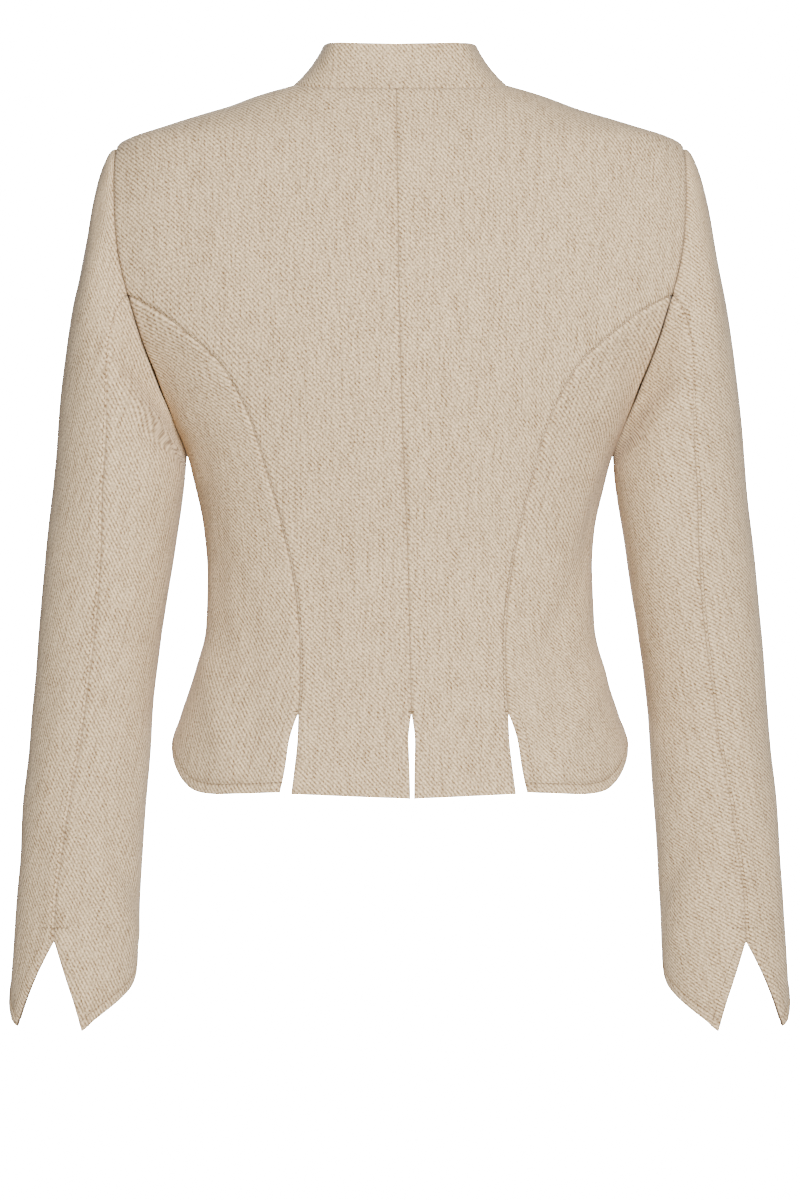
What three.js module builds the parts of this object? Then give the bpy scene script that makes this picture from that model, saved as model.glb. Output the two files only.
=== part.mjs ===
// Women's cropped blazer with a stand collar, hollow, as it hangs on a wearer.
// Millimetres. +Z is up, the wearer faces -Y and the wearer's left is +X.
// The origin lies between the two shoulder neck points, at the height of the shoulder seams there.
import * as THREE from "three";

// ---- Driving dimensions ----
const WALL = 2.0; // cloth with its fusing, turned in at the edges
const SEAM_GAP = 0.3; // between two pieces that are sewn together
const HALF_WALL = WALL / 2;
const HALF_GAP = SEAM_GAP / 2;

const NECK_HALF = 78; // centre to the shoulder neck point
const SHOULDER_HALF = 203; // centre to the shoulder tip
const SHOULDER_DROP = 44; // the tip below the neck point
const NECK_DROP_BACK = 5.5; // the neck seam at centre back below the neck point
const UNDERARM = -258; // height of the lowest point of the armhole
const SLIT_TOP = -447; // height at which the seams of the back open
const BACK_HEM = -507; // the back hem at the centre
const FRONT_HEM = -440; // the shorter hem of the fronts

const LAP_LIFT = 1.7; // the right front lies this far out, the left this far in
const LAP_BLEND = [20, 62]; // from the centre, where that shift fades out

const BICEPS = -285; // the cap of the sleeve ends here and the tube starts
const NOTCH_TOP = -613; // the V notch of the cuff, at the back seam
const CUFF_FRONT = -604; // the cuff at the front seam of the sleeve

const BUTTON_RADIUS = 10;
const BUTTON_THICK = 4;
const BUTTON_HEIGHTS = { top: -196, middle: -260, bottom: -324 };

const BACK_POWER = 2.35; // fullness of the rings, behind and in front of the side line
const FRONT_POWER = 2.15;
const SLEEVE_POWER = 2.1;

const CLOTH = new THREE.MeshStandardMaterial({ color: 0xc9b9a3, roughness: 0.92, metalness: 0 });
const CLOTH_SIDE = new THREE.MeshStandardMaterial({ color: 0xc2b19b, roughness: 0.92, metalness: 0 });
const CLOTH_SLEEVE = new THREE.MeshStandardMaterial({ color: 0xbeae97, roughness: 0.92, metalness: 0 });
const HORN = new THREE.MeshStandardMaterial({ color: 0x8d7862, roughness: 0.45, metalness: 0 });

// ---- Tables: a row for each section or point ----
const table = (names, rows) =>
  Object.fromEntries(names.split(" ").map((name, c) => [name, rows.map((row) => row[c])]));

// Horizontal rings of the body: half width, y of the back, -y of the front, y of the side line.
const BODY = table("z half back front side", [
  [-510, 168, 96, 119, -8],
  [-474, 164, 91, 116.5, -9],
  [-451, 157, 86.5, 114.5, -9.5],
  [-421, 147, 79, 111, -11],
  [-386, 139, 71.5, 105.5, -13],
  [-350, 138, 69, 104, -14],
  [-314, 141, 73.5, 111, -12.5],
  [-278, 148.3, 80.5, 122, -11],
  [-266, 151.2, 83, 125, -11],
  [-258, 153.6, 84.3, 126.5, -11],
  [-242, 161, 87, 128, -10],
  [-220, 173.5, 90.5, 127, -10],
  [-198, 188, 93, 123, -9],
  [-178, 203, 94.3, 118.5, -8],
  [-160, 214, 95, 114, -7],
  [-140, 223, 94.5, 109, -6],
  [-110, 226, 92, 101, -4],
  [-90, 224, 88, 96, -3],
  [-70, 219, 84, 90, -2],
  [-55, 212, 80, 86, -1],
  [-44, 203, 77, 82, -1],
  [-38, 195.5, 74.5, 79.5, -2],
  [-29, 169, 70.5, 76, -3],
  [-16, 128, 64, 71, -4],
  [-6, 100, 58.5, 66, -4],
  [0, 78, 54, 62, -4],
  [6, 56, 50, 58, -4],
]);

// Horizontal rings of the sleeve: centre, half width, half depth, and the angle of the back seam.
const SLEEVE = table("z x y halfX halfY seam", [
  [-690, 241, -56, 44, 38, 73],
  [-640, 237, -46, 44.3, 38, 73],
  [-583, 232.5, -36, 44.3, 40, 72],
  [-549, 230, -30, 43.4, 42.5, 75],
  [-514, 227.5, -24, 43.6, 45, 79],
  [-475, 223.5, -18, 42.8, 48, 84],
  [-440, 220.8, -13, 42.6, 50, 87],
  [-386, 215, -8, 43.8, 53, 89],
  [-332, 208.2, -5, 45.4, 57, 86],
  [-285, 201.8, -4, 46.4, 60, 80],
  [-240, 198, -4, 46.6, 61, 78],
]);

// The armhole on the body, from the shoulder tip: behind, below and in front.
const ARMHOLE_BACK = table("x z", [
  [203, -44], [203.2, -47], [203.4, -53], [203.6, -64], [203.2, -84], [201.5, -110],
  [197.5, -134], [193, -151],
]);
const ARMHOLE_LOW_BACK = table("x z", [
  [193, -151], [190.2, -161], [184.4, -180], [177, -200], [168, -222], [159.4, -243],
  [155.2, -253.5], [153.6, -258],
]);
const ARMHOLE_LOW_FRONT = table("x z", [
  [153.6, -258], [155, -253], [159, -236], [163, -212], [167, -186],
]);
const ARMHOLE_FRONT = table("x z", [
  [203, -44], [202.8, -47], [202, -53], [199, -64], [191, -84], [181, -110], [173, -140], [167, -186],
]);

// Seams of the body: x at heights z.
const CENTRE_BACK = table("z x", [
  [-510, -8.6], [-447, -8], [-410, -7.2], [-343, -5.6], [-240, -1.6], [-126, 1.1], [-5.5, 2.5],
]);
const PRINCESS_BACK = table("x z", [
  [193, -151], [170.8, -163.5], [148.2, -181.5], [127.3, -200.5], [113.9, -223], [104.1, -245.5],
  [97.5, -267.5], [87, -306], [78.2, -345.7], [74.6, -370.4], [72.7, -401.5], [72.6, -422], [73.9, -447],
]);
const SLIT_CENTRE_EDGE = table("x z", [[73.9, -447], [74.6, -466], [76.6, -485], [79, -504]]);
const SLIT_SIDE_EDGE = table("x z", [[74.4, -447], [80.5, -466], [83.3, -485], [87, -503]]);
const CENTRE_SLIT_EDGE = table("gap z", [[0, -447], [2.2, -466], [1.7, -485], [1.3, -507]]);
const PRINCESS_FRONT = table("x z", [
  [167, -186], [150, -200], [128, -218], [110, -240], [98, -268], [88, -306], [82, -345], [80, -370],
  [80, -395], [82, -418], [84, -440],
]);

// Hems: the side panel from the back slit to the front seam by ring angle, the fronts by x.
const SIDE_HEM = table("angle z", [
  [33.6, -503], [40, -504.3], [47, -505], [53, -504.4], [58, -502.6], [64.5, -497], [73.5, -486],
  [82, -475], [90, -466], [102, -455], [118, -447], [134, -442], [151.5, -440],
]);
const FRONT_EDGE = table("x z", [
  [-18, -182], [-18, -240], [-18, -300], [-18, -345], [-14, -374], [-2, -402], [18, -425], [46, -440],
]);

// The neckline of the front, from the neck point to the centre, then over the lap.
const NECK_FRONT = table("x z", [
  [78, 0], [77.6, -1.5], [76, -5], [73.5, -12], [69, -26], [61, -50], [49, -80], [34.5, -115], [18, -147],
  [0, -172],
]);

// The collar above the neckline, by share of the way from centre back to its front end.
const COLLAR = table("share rise inward back", [
  [0, 32.5, 0, -8],
  [0.14, 33, 11, -7],
  [0.25, 32, 21, -6],
  [0.34, 27.5, 22.5, -2],
  [0.42, 22, 20, 4],
  [0.52, 19.5, 16.5, 8],
  [0.65, 17, 13, 7],
  [0.8, 14, 9.5, 5],
  [0.92, 11, 6, 3],
  [1, 8, 2, 2],
]);
const COLLAR_BEND = 2.2; // the collar is hollow by this much half way up
const COLLAR_END = 5; // from the centre front to each end of the collar

// The cuff below the notch: the edges of the notch by x at z, and the hem by angle.
const NOTCH_OUTER = table("angle z", [[73, -613], [55, -640], [33, -676]]);
const NOTCH_INNER = table("angle z", [[73, -613], [88, -645], [103, -679]]);
const HEM_OUTER = table("angle z", [
  [33, -676], [17, -668], [0, -656], [-30, -633], [-70, -612], [-125, -604],
]);
const HEM_INNER = table("angle z", [
  [103, -679], [112, -672], [124, -665], [144, -655], [172, -642], [200, -620], [235, -604],
]);

// ---- Curves ----
const radians = THREE.MathUtils.degToRad;
const mix = THREE.MathUtils.lerp;
const ease = THREE.MathUtils.smoothstep;
const powered = (value, power) => Math.sign(value) * Math.abs(value) ** power;

// A smooth curve through the points of a table that never swings past them.
function through(xs, ys) {
  const order = xs.map((_, i) => i).sort((i, j) => xs[i] - xs[j]);
  const x = order.map((i) => xs[i]);
  const y = order.map((i) => ys[i]);
  const last = x.length - 1;
  const slopes = x.slice(1).map((next, i) => (y[i + 1] - y[i]) / (next - x[i]));
  const rates = x.map((_, i) => {
    if (i === 0) return slopes[0];
    if (i === last) return slopes[last - 1];
    const [before, after] = [slopes[i - 1], slopes[i]];
    return before * after <= 0 ? 0 : (2 * before * after) / (before + after);
  });
  return (value) => {
    if (value <= x[0]) return y[0] + (value - x[0]) * rates[0];
    if (value >= x[last]) return y[last] + (value - x[last]) * rates[last];
    const i = x.findIndex((edge) => edge > value) - 1;
    const width = x[i + 1] - x[i];
    const t = (value - x[i]) / width;
    const rise = y[i + 1] - y[i];
    const bend = (1 - t) * (rates[i] * width - rise) - t * (rates[i + 1] * width - rise);
    return y[i] + t * rise + t * (1 - t) * bend;
  };
}

// Shares of the length of a run of points, from 0 at the first to 1 at the last.
function shares(points) {
  const sums = [0];
  for (let i = 1; i < points.length; i++)
    sums.push(sums[i - 1] + Math.hypot(...points[i].map((v, k) => v - points[i - 1][k])));
  return sums.map((sum) => sum / sums.at(-1));
}

// Pairs along a curve through the rows of two columns, one pair for each share of its length.
function trace(us, vs, wanted) {
  const at = shares(us.map((u, i) => [u, vs[i]]));
  const [u, v] = [through(at, us), through(at, vs)];
  return wanted.map((share) => [u(share), v(share)]);
}
const evenly = (count) => Array.from({ length: count + 1 }, (_, i) => i / count);
const join = (first, second) => [...first, ...second.slice(1)];

// Fills an outline of four runs: top and bottom go from left to right, left and right go down.
function fill({ top, bottom, left, right }) {
  const blend = (a, b) => shares(a).map((share, i) => (share + shares(b)[i]) / 2);
  const [across, down] = [blend(top, bottom), blend(left, right)];
  const [topEnd, bottomEnd] = [top.at(-1), bottom.at(-1)];
  return down.map((t, i) =>
    across.map((c, j) =>
      [0, 1].map(
        (k) =>
          mix(top[j][k], bottom[j][k], t) +
          mix(left[i][k], right[i][k], c) -
          mix(mix(top[0][k], topEnd[k], c), mix(bottom[0][k], bottomEnd[k], c), t),
      ),
    ),
  );
}

// ---- Surfaces: the middle of the cloth ----
const body = {
  half: through(BODY.z, BODY.half),
  back: through(BODY.z, BODY.back),
  front: through(BODY.z, BODY.front),
  side: through(BODY.z, BODY.side),
};
const sleeve = {
  x: through(SLEEVE.z, SLEEVE.x),
  y: through(SLEEVE.z, SLEEVE.y),
  halfX: through(SLEEVE.z, SLEEVE.halfX),
  halfY: through(SLEEVE.z, SLEEVE.halfY),
  seam: through(SLEEVE.z, SLEEVE.seam),
};
const centreBack = through(CENTRE_BACK.z, CENTRE_BACK.x);

// The body ring at height z. Angle 0 is centre back, a quarter turn is the side, a half turn the front.
function bodyPoint(angle, z) {
  const behind = Math.cos(angle) >= 0;
  const power = 2 / (behind ? BACK_POWER : FRONT_POWER);
  const reach = behind ? body.back(z) - body.side(z) : body.front(z) + body.side(z);
  return new THREE.Vector3(
    body.half(z) * powered(Math.sin(angle), power),
    body.side(z) + reach * powered(Math.cos(angle), power),
    z,
  );
}

// The sleeve ring at height z. Angle 0 is the outer side, a quarter turn is the back.
function sleevePoint(degrees, z) {
  const [c, s] = [Math.cos(radians(degrees)), Math.sin(radians(degrees))];
  return new THREE.Vector3(
    sleeve.x(z) + sleeve.halfX(z) * powered(c, 2 / SLEEVE_POWER),
    sleeve.y(z) + sleeve.halfY(z) * powered(s, 2 / SLEEVE_POWER),
    z,
  );
}

// The outward normal of a surface of angle and height.
function normalOf(surface, angle, z, step, sense) {
  const along = surface(angle + step, z).sub(surface(angle - step, z));
  const up = surface(angle, z + 0.1).sub(surface(angle, z - 0.1));
  return up.cross(along).multiplyScalar(sense).normalize();
}
function onBody(angle, z, lift = 0) {
  const normal = normalOf(bodyPoint, angle, z, 1e-3, 1);
  return { point: bodyPoint(angle, z).addScaledVector(normal, lift), normal };
}
function onSleeve(degrees, z) {
  return { point: sleevePoint(degrees, z), normal: normalOf(sleevePoint, degrees, z, 0.1, -1) };
}

// The ring angle of the body at x, z, behind or in front.
const angleBehind = (x, z) =>
  Math.sign(x) * Math.asin(Math.min(1, Math.abs(x) / body.half(z)) ** (BACK_POWER / 2));
const angleBefore = (x, z) =>
  Math.PI - Math.sign(x) * Math.asin(Math.min(1, Math.abs(x) / body.half(z)) ** (FRONT_POWER / 2));

// The fronts part where they lap: the right one (side -1) lies outside.
const lapLift = (x, side) => -side * LAP_LIFT * (1 - ease(x, ...LAP_BLEND));
const onBack = ([x, z]) => onBody(angleBehind(x, z), z);
const onFront = (side) => ([x, z]) => onBody(angleBefore(x, z), z, lapLift(x, side));

// ---- Outlines of the panels, on the wearer's left side of the body ----
const ARM_STEPS = ARMHOLE_BACK.z.length - 1;
const SEAM_STEPS = 11;
const SLIT_STEPS = 3;
const NECK_SHARES = [0, 0.3, 0.58, 0.8, 0.93, 1];
const SHOULDER_STEPS = 4;
const FRONT_NECK_STEPS = NECK_FRONT.z.length - 1;
const rowsOf = ({ x, z }) => x.map((value, i) => [value, z[i]]);

// The seams of the back lean towards the wearer's right below the underarm.
const LEAN = 0.4;
const lean = (z, side) => side * LEAN * Math.min(0, centreBack(z) - centreBack(UNDERARM));
const leaned = (points, side) => points.map(([x, z]) => [x + lean(z, side), z]);

const shoulderLine = trace([NECK_HALF, SHOULDER_HALF], [0, -SHOULDER_DROP], evenly(SHOULDER_STEPS));
// The shoulder seam follows the ridge, where the body ring is as wide as the seam is far out.
function onRidge([x]) {
  let [low, high] = [-SHOULDER_DROP, 0];
  for (let i = 0; i < 40; i++) {
    const middle = (low + high) / 2;
    if (body.half(middle) > x) low = middle;
    else high = middle;
  }
  return [x, high];
}
const shoulderSeam = shoulderLine.map(onRidge);

const backNeck = (side, wanted = NECK_SHARES) =>
  trace(
    [side * centreBack(-NECK_DROP_BACK), 30, 58, 72, NECK_HALF],
    [-NECK_DROP_BACK, -5.3, -4.2, -2, 0],
    wanted,
  );

function princessBack(side, edge) {
  const seam = trace(PRINCESS_BACK.x, PRINCESS_BACK.z, evenly(SEAM_STEPS));
  return leaned(join(seam, trace(edge.x, edge.z, evenly(SLIT_STEPS))), side);
}
const princessFront = trace(PRINCESS_FRONT.x, PRINCESS_FRONT.z, evenly(SEAM_STEPS + SLIT_STEPS));

function backOutline(side) {
  const top = join(backNeck(side), shoulderSeam);
  const right = join(rowsOf(ARMHOLE_BACK), princessBack(side, SLIT_CENTRE_EDGE));
  const sewn = ARM_STEPS + SEAM_STEPS;
  const down = shares(right);
  const opening = through(CENTRE_SLIT_EDGE.z, CENTRE_SLIT_EDGE.gap);
  const left = down.map((share, i) => {
    const z =
      i <= sewn
        ? mix(-NECK_DROP_BACK, SLIT_TOP, share / down[sewn])
        : mix(SLIT_TOP, BACK_HEM, (i - sewn) / SLIT_STEPS);
    return [side * centreBack(z) + (i > sewn ? opening(z) : 0), z];
  });
  const corner = right.at(-1);
  const bottom = evenly(NECK_SHARES.length - 1 + SHOULDER_STEPS).map((share) => [
    mix(left.at(-1)[0], corner[0], share),
    mix(BACK_HEM, corner[1], share),
  ]);
  return { top, bottom, left, right };
}

function frontOutline() {
  const edgeSteps = ARM_STEPS + SEAM_STEPS + SLIT_STEPS - FRONT_NECK_STEPS - 1;
  const edge = trace(FRONT_EDGE.x, FRONT_EDGE.z, evenly(edgeSteps));
  const left = [...rowsOf(NECK_FRONT), ...edge];
  const right = join(rowsOf(ARMHOLE_FRONT), princessFront);
  const corner = left.at(-1);
  const bottom = evenly(SHOULDER_STEPS).map((share) => [mix(corner[0], right.at(-1)[0], share), FRONT_HEM]);
  return { top: shoulderSeam, bottom, left, right };
}

// The side panel is laid out by ring angle, in millimetres round a ring of this radius.
const SIDE_RADIUS = 150;
function sideOutline(side) {
  const behind = ([x, z]) => [SIDE_RADIUS * angleBehind(x, z), z];
  const before = ([x, z]) => [SIDE_RADIUS * angleBefore(x, z), z];
  const top = join(rowsOf(ARMHOLE_LOW_BACK).map(behind), rowsOf(ARMHOLE_LOW_FRONT).map(before));
  const left = princessBack(side, SLIT_SIDE_EDGE).map(behind);
  const right = princessFront.map(before);
  const along = SIDE_HEM.angle.map((angle) => SIDE_RADIUS * radians(angle));
  const hem = trace(along, SIDE_HEM.z, evenly(top.length - 1));
  hem[0] = left.at(-1);
  hem[hem.length - 1] = right.at(-1);
  return { top, bottom: hem, left, right };
}
const onSide = ([length, z]) => onBody(length / SIDE_RADIUS, z);

// ---- Solids ----
const mirrored = (side) => ({ point, normal }) => ({
  point: point.clone().setX(side * point.x),
  normal: normal.clone().setX(side * normal.x),
});

// Draws the edges of a grid in along the cloth, by an amount for each of its four sides.
function drawnIn(grid, { top = 0, bottom = 0, left = 0, right = 0 }) {
  const [rows, cols] = [grid.length - 1, grid[0].length - 1];
  const at = (i, j) => grid[Math.min(rows, Math.max(0, i))][Math.min(cols, Math.max(0, j))];
  const shift = (i, j, along, inner, amount) => {
    const { point, normal } = at(i, j);
    const edge = at(i + along[0], j + along[1]).point.clone();
    edge.sub(at(i - along[0], j - along[1]).point);
    const inwards = normal.clone().cross(edge).normalize();
    const towards = at(i + inner[0], j + inner[1]).point.clone().sub(point);
    return inwards.multiplyScalar(amount * Math.sign(inwards.dot(towards) || 1));
  };
  return grid.map((row, i) =>
    row.map(({ point, normal }, j) => {
      const moved = point.clone();
      if (j === 0 && left) moved.add(shift(i, j, [1, 0], [0, 1], left));
      if (j === cols && right) moved.add(shift(i, j, [1, 0], [0, -1], right));
      if (i === 0 && top) moved.add(shift(i, j, [0, 1], [1, 0], top));
      if (i === rows && bottom) moved.add(shift(i, j, [0, 1], [-1, 0], bottom));
      return { point: moved, normal };
    }),
  );
}

// A closed wall on both sides of a grid of points with their normals.
function wall(grid, half = HALF_WALL) {
  const [rows, cols] = [grid.length, grid[0].length];
  const points = [half, -half].flatMap((lift) =>
    grid.flat().flatMap(({ point, normal }) => point.clone().addScaledVector(normal, lift).toArray()),
  );
  const outer = (i, j) => i * cols + j;
  const inner = (i, j) => rows * cols + i * cols + j;
  const faces = [];
  const quad = (a, b, c, d) => faces.push(a, b, c, a, c, d);
  for (let i = 0; i + 1 < rows; i++)
    for (let j = 0; j + 1 < cols; j++) {
      quad(outer(i, j), outer(i + 1, j), outer(i + 1, j + 1), outer(i, j + 1));
      quad(inner(i, j), inner(i, j + 1), inner(i + 1, j + 1), inner(i + 1, j));
    }
  const rim = [];
  for (let j = 0; j < cols - 1; j++) rim.push([0, j]);
  for (let i = 0; i < rows - 1; i++) rim.push([i, cols - 1]);
  for (let j = cols - 1; j > 0; j--) rim.push([rows - 1, j]);
  for (let i = rows - 1; i > 0; i--) rim.push([i, 0]);
  rim.forEach((here, k) => {
    const next = rim[(k + 1) % rim.length];
    quad(outer(...here), outer(...next), inner(...next), inner(...here));
  });
  return closedGeometry(points, faces);
}

// A BufferGeometry whose faces point out, whichever way round its grid ran.
function closedGeometry(points, faces) {
  const corner = (k) => new THREE.Vector3().fromArray(points, 3 * faces[k]);
  let volume = 0;
  for (let k = 0; k < faces.length; k += 3) volume += corner(k).dot(corner(k + 1).cross(corner(k + 2)));
  if (volume < 0)
    for (let k = 0; k < faces.length; k += 3) [faces[k + 1], faces[k + 2]] = [faces[k + 2], faces[k + 1]];
  const geometry = new THREE.BufferGeometry();
  geometry.setAttribute("position", new THREE.Float32BufferAttribute(points, 3));
  geometry.setIndex(faces);
  geometry.computeVertexNormals();
  return geometry;
}

const blazer = new THREE.Group();
function add(name, geometry, material) {
  const mesh = new THREE.Mesh(geometry, material);
  mesh.name = name;
  blazer.add(mesh);
  return mesh;
}
const SIDES = { left: 1, right: -1 };

// ---- Body panels ----
function panel(name, outline, lifted, side, edges, material) {
  const grid = fill(outline).map((row) => row.map(lifted).map(mirrored(side)));
  add(name, wall(drawnIn(grid, edges)), material);
}
for (const [word, side] of Object.entries(SIDES)) {
  const sewn = { top: HALF_GAP, left: HALF_GAP, right: HALF_GAP };
  panel(`back_${word}`, backOutline(side), onBack, side, sewn, CLOTH);
  panel(`side_${word}`, sideOutline(side), onSide, side, sewn, CLOTH_SIDE);
  panel(`front_${word}`, frontOutline(), onFront(side), side, { top: HALF_GAP, right: HALF_GAP }, CLOTH);
}

// ---- Sleeves ----
const CAP_STEPS = 6;
const TUBE_STEPS = 10;
const NOTCH_STEPS = 3;
const FRONT_SEAM = -125; // degrees, on the inner front of the arm
const CAP_OUT = 0.94; // how far the cap leaves the shoulder outwards, against down
const CAP_LEAVE = [18, 62]; // length of the first handle at the tip, and what is added half way down
const CAP_ARRIVE = 0.5; // length of the second handle, as a share of the span
const EDGE_CLEAR = [0.5, 1.4, 2.4]; // off the body: at the tip, added below, added outwards at the arm pit

// One line of the cap, from the armhole to the biceps ring, as a list of points.
function capLine(start, behind, degrees) {
  const low = (-SHOULDER_DROP - start.z) / (-SHOULDER_DROP - UNDERARM);
  const sway = (behind ? 0.25 : -0.3) * Math.sin(Math.PI * low);
  const out = CAP_OUT * Math.max(0, 1 - low) ** 0.7;
  const leave = new THREE.Vector3(out, sway, -0.34 - 0.66 * low).normalize();
  const end = sleevePoint(degrees, BICEPS);
  const arrive = sleevePoint(degrees, BICEPS + 1).sub(sleevePoint(degrees, BICEPS)).normalize();
  const [clear, more, outwards] = EDGE_CLEAR;
  const from = start.clone().addScaledVector(leave, clear + more * low);
  from.x += outwards * ease(low, 0.5, 1);
  const span = from.distanceTo(end);
  const handle = Math.min(span * 0.4, CAP_LEAVE[0] + CAP_LEAVE[1] * low * (1 - low));
  const curve = new THREE.CubicBezierCurve3(
    from,
    from.clone().addScaledVector(leave, handle),
    end.clone().addScaledVector(arrive, span * CAP_ARRIVE),
    end,
  );
  return evenly(CAP_STEPS).map((t) => curve.getPoint(t));
}

// The armhole all round, with the sleeve angle that each of its points runs down to.
function armholeRound() {
  const run = (rows, lifted, from, to) => {
    const points = rows.map((row) => lifted(row).point);
    const along = shares(points.map((p) => p.toArray()));
    const behind = lifted === onBack;
    return points.map((point, i) => ({ point, behind, degrees: mix(from, to, along[i]) }));
  };
  const plainFront = ([x, z]) => onBody(angleBefore(x, z), z);
  const backSeam = sleeve.seam(BICEPS);
  const upper = join(
    run(rowsOf(ARMHOLE_BACK).reverse(), onBack, backSeam, 0),
    run(rowsOf(ARMHOLE_FRONT), plainFront, 0, FRONT_SEAM),
  );
  const under = join(
    run(rowsOf(ARMHOLE_LOW_BACK), onBack, backSeam, 180),
    run(rowsOf(ARMHOLE_LOW_FRONT), plainFront, 180, FRONT_SEAM + 360),
  );
  return { upper, under };
}

// The cap as a grid of points and normals, a row for each step down, round the whole arm.
function capGrid(round) {
  const lines = round.map(({ point, behind, degrees }) => capLine(point, behind, degrees));
  const count = lines.length;
  return evenly(CAP_STEPS).map((_, i) =>
    lines.map((line, j) => {
      const [before, after] = [lines[(j + count - 1) % count], lines[(j + 1) % count]];
      const around = after[i].clone().sub(before[i]);
      const down = line[Math.min(CAP_STEPS, i + 1)].clone().sub(line[Math.max(0, i - 1)]);
      return { point: line[i], normal: around.cross(down).normalize() };
    }),
  );
}

// The tube of one sleeve piece, from the biceps ring to the cuff.
function tubeGrid(round, frontSeam, notch, hem) {
  const heights = evenly(TUBE_STEPS).map((share) => mix(BICEPS, NOTCH_TOP, share));
  const seamLine = heights.map((z) => [sleeve.seam(z), z]);
  const notchLine = trace(notch.angle, notch.z, evenly(NOTCH_STEPS));
  const outline = {
    top: round.map(({ degrees }) => [degrees, BICEPS]),
    left: join(seamLine, notchLine),
    right: evenly(TUBE_STEPS + NOTCH_STEPS).map((share) => [frontSeam, mix(BICEPS, CUFF_FRONT, share)]),
    bottom: trace(hem.angle, hem.z, shares(round.map(({ degrees }) => [degrees]))),
  };
  return fill(outline).map((row) => row.map((at) => onSleeve(...at)));
}

const { upper, under } = armholeRound();
const ring = [...upper.slice(0, -1), ...under.slice(1).reverse()];
const cap = capGrid(ring);
const capUpper = cap.map((row) => row.slice(0, upper.length));
const capUnder = cap.map((row) => [row[0], ...row.slice(upper.length - 1).reverse()]);
const tubeUpper = tubeGrid(upper, FRONT_SEAM, NOTCH_OUTER, HEM_OUTER);
const tubeUnder = tubeGrid(under, FRONT_SEAM + 360, NOTCH_INNER, HEM_INNER);
for (const [word, side] of Object.entries(SIDES)) {
  const seams = { left: HALF_GAP, right: HALF_GAP };
  const place = (grid) => grid.map((row) => row.map(mirrored(side)));
  const whole = (top, tube) => drawnIn(place([...top.slice(0, -1), ...tube]), seams);
  add(`upper_sleeve_${word}`, wall(whole(capUpper, tubeUpper)), CLOTH_SLEEVE);
  add(`under_sleeve_${word}`, wall(whole(capUnder, tubeUnder)), CLOTH_SLEEVE);
}

// ---- Collar ----
const COLLAR_ROWS = 2;
const COLLAR_CLEAR = 1.4; // from the neck seam to the lower edge of the collar
const halved = (steps) => steps.flatMap((step, i) => (i ? [mix(steps[i - 1], step, 0.5), step] : [step]));
function collarStations(side) {
  const front = trace(NECK_FRONT.x, NECK_FRONT.z, halved(shares(rowsOf(NECK_FRONT))));
  const [before, end] = front.slice(-2);
  front[front.length - 1] = [COLLAR_END, mix(before[1], end[1], 1 - COLLAR_END / before[0])];
  const behind = backNeck(side, halved(NECK_SHARES));
  const run = [...behind.map(onBack), ...front.slice(1).map(onFront(side))].map(mirrored(side));
  const along = shares(run.map(({ point }) => point.toArray()));
  const column = (name) => through(COLLAR.share, COLLAR[name]);
  const [rise, inward, back] = ["rise", "inward", "back"].map(column);
  return run.map(({ point, normal }, i) => ({
    foot: point,
    normal,
    reach: new THREE.Vector3(-side * inward(along[i]), back(along[i]), rise(along[i])),
  }));
}
function collarGrid() {
  const stations = [...collarStations(1).reverse(), ...collarStations(-1).slice(1)];
  const points = evenly(COLLAR_ROWS).map((t) =>
    stations.map(({ foot, normal, reach }) => {
      const start = COLLAR_CLEAR / reach.length();
      const hollow = -COLLAR_BEND * 4 * t * (1 - t);
      return foot.clone().addScaledVector(reach, mix(start, 1, t)).addScaledVector(normal, hollow);
    }),
  );
  const last = stations.length - 1;
  return points.map((row, i) =>
    row.map((point, j) => {
      const around = row[Math.min(last, j + 1)].clone().sub(row[Math.max(0, j - 1)]);
      const up = points[Math.min(COLLAR_ROWS, i + 1)][j].clone().sub(points[Math.max(0, i - 1)][j]);
      return { point, normal: around.cross(up).normalize() };
    }),
  );
}
add("collar", wall(collarGrid()), CLOTH);

// ---- Buttons ----
const BUTTON_CLEAR = 0.5;
const buttonShape = new THREE.LatheGeometry(
  [
    [0, 0],
    [BUTTON_RADIUS - 0.8, 0],
    [BUTTON_RADIUS, 1],
    [BUTTON_RADIUS, 2.2],
    [BUTTON_RADIUS - 1, BUTTON_THICK],
    [BUTTON_RADIUS - 3.2, BUTTON_THICK - 0.9],
    [0, BUTTON_THICK - 1.2],
  ].map(([radius, height]) => new THREE.Vector2(radius, height)),
  20,
);
for (const [place, z] of Object.entries(BUTTON_HEIGHTS)) {
  const { point, normal } = onFront(SIDES.right)([0, z]);
  const button = add(`button_${place}`, buttonShape, HORN);
  button.position.copy(point.addScaledVector(normal, HALF_WALL + BUTTON_CLEAR));
  button.quaternion.setFromUnitVectors(new THREE.Vector3(0, 1, 0), normal);
}

export default blazer;
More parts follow.
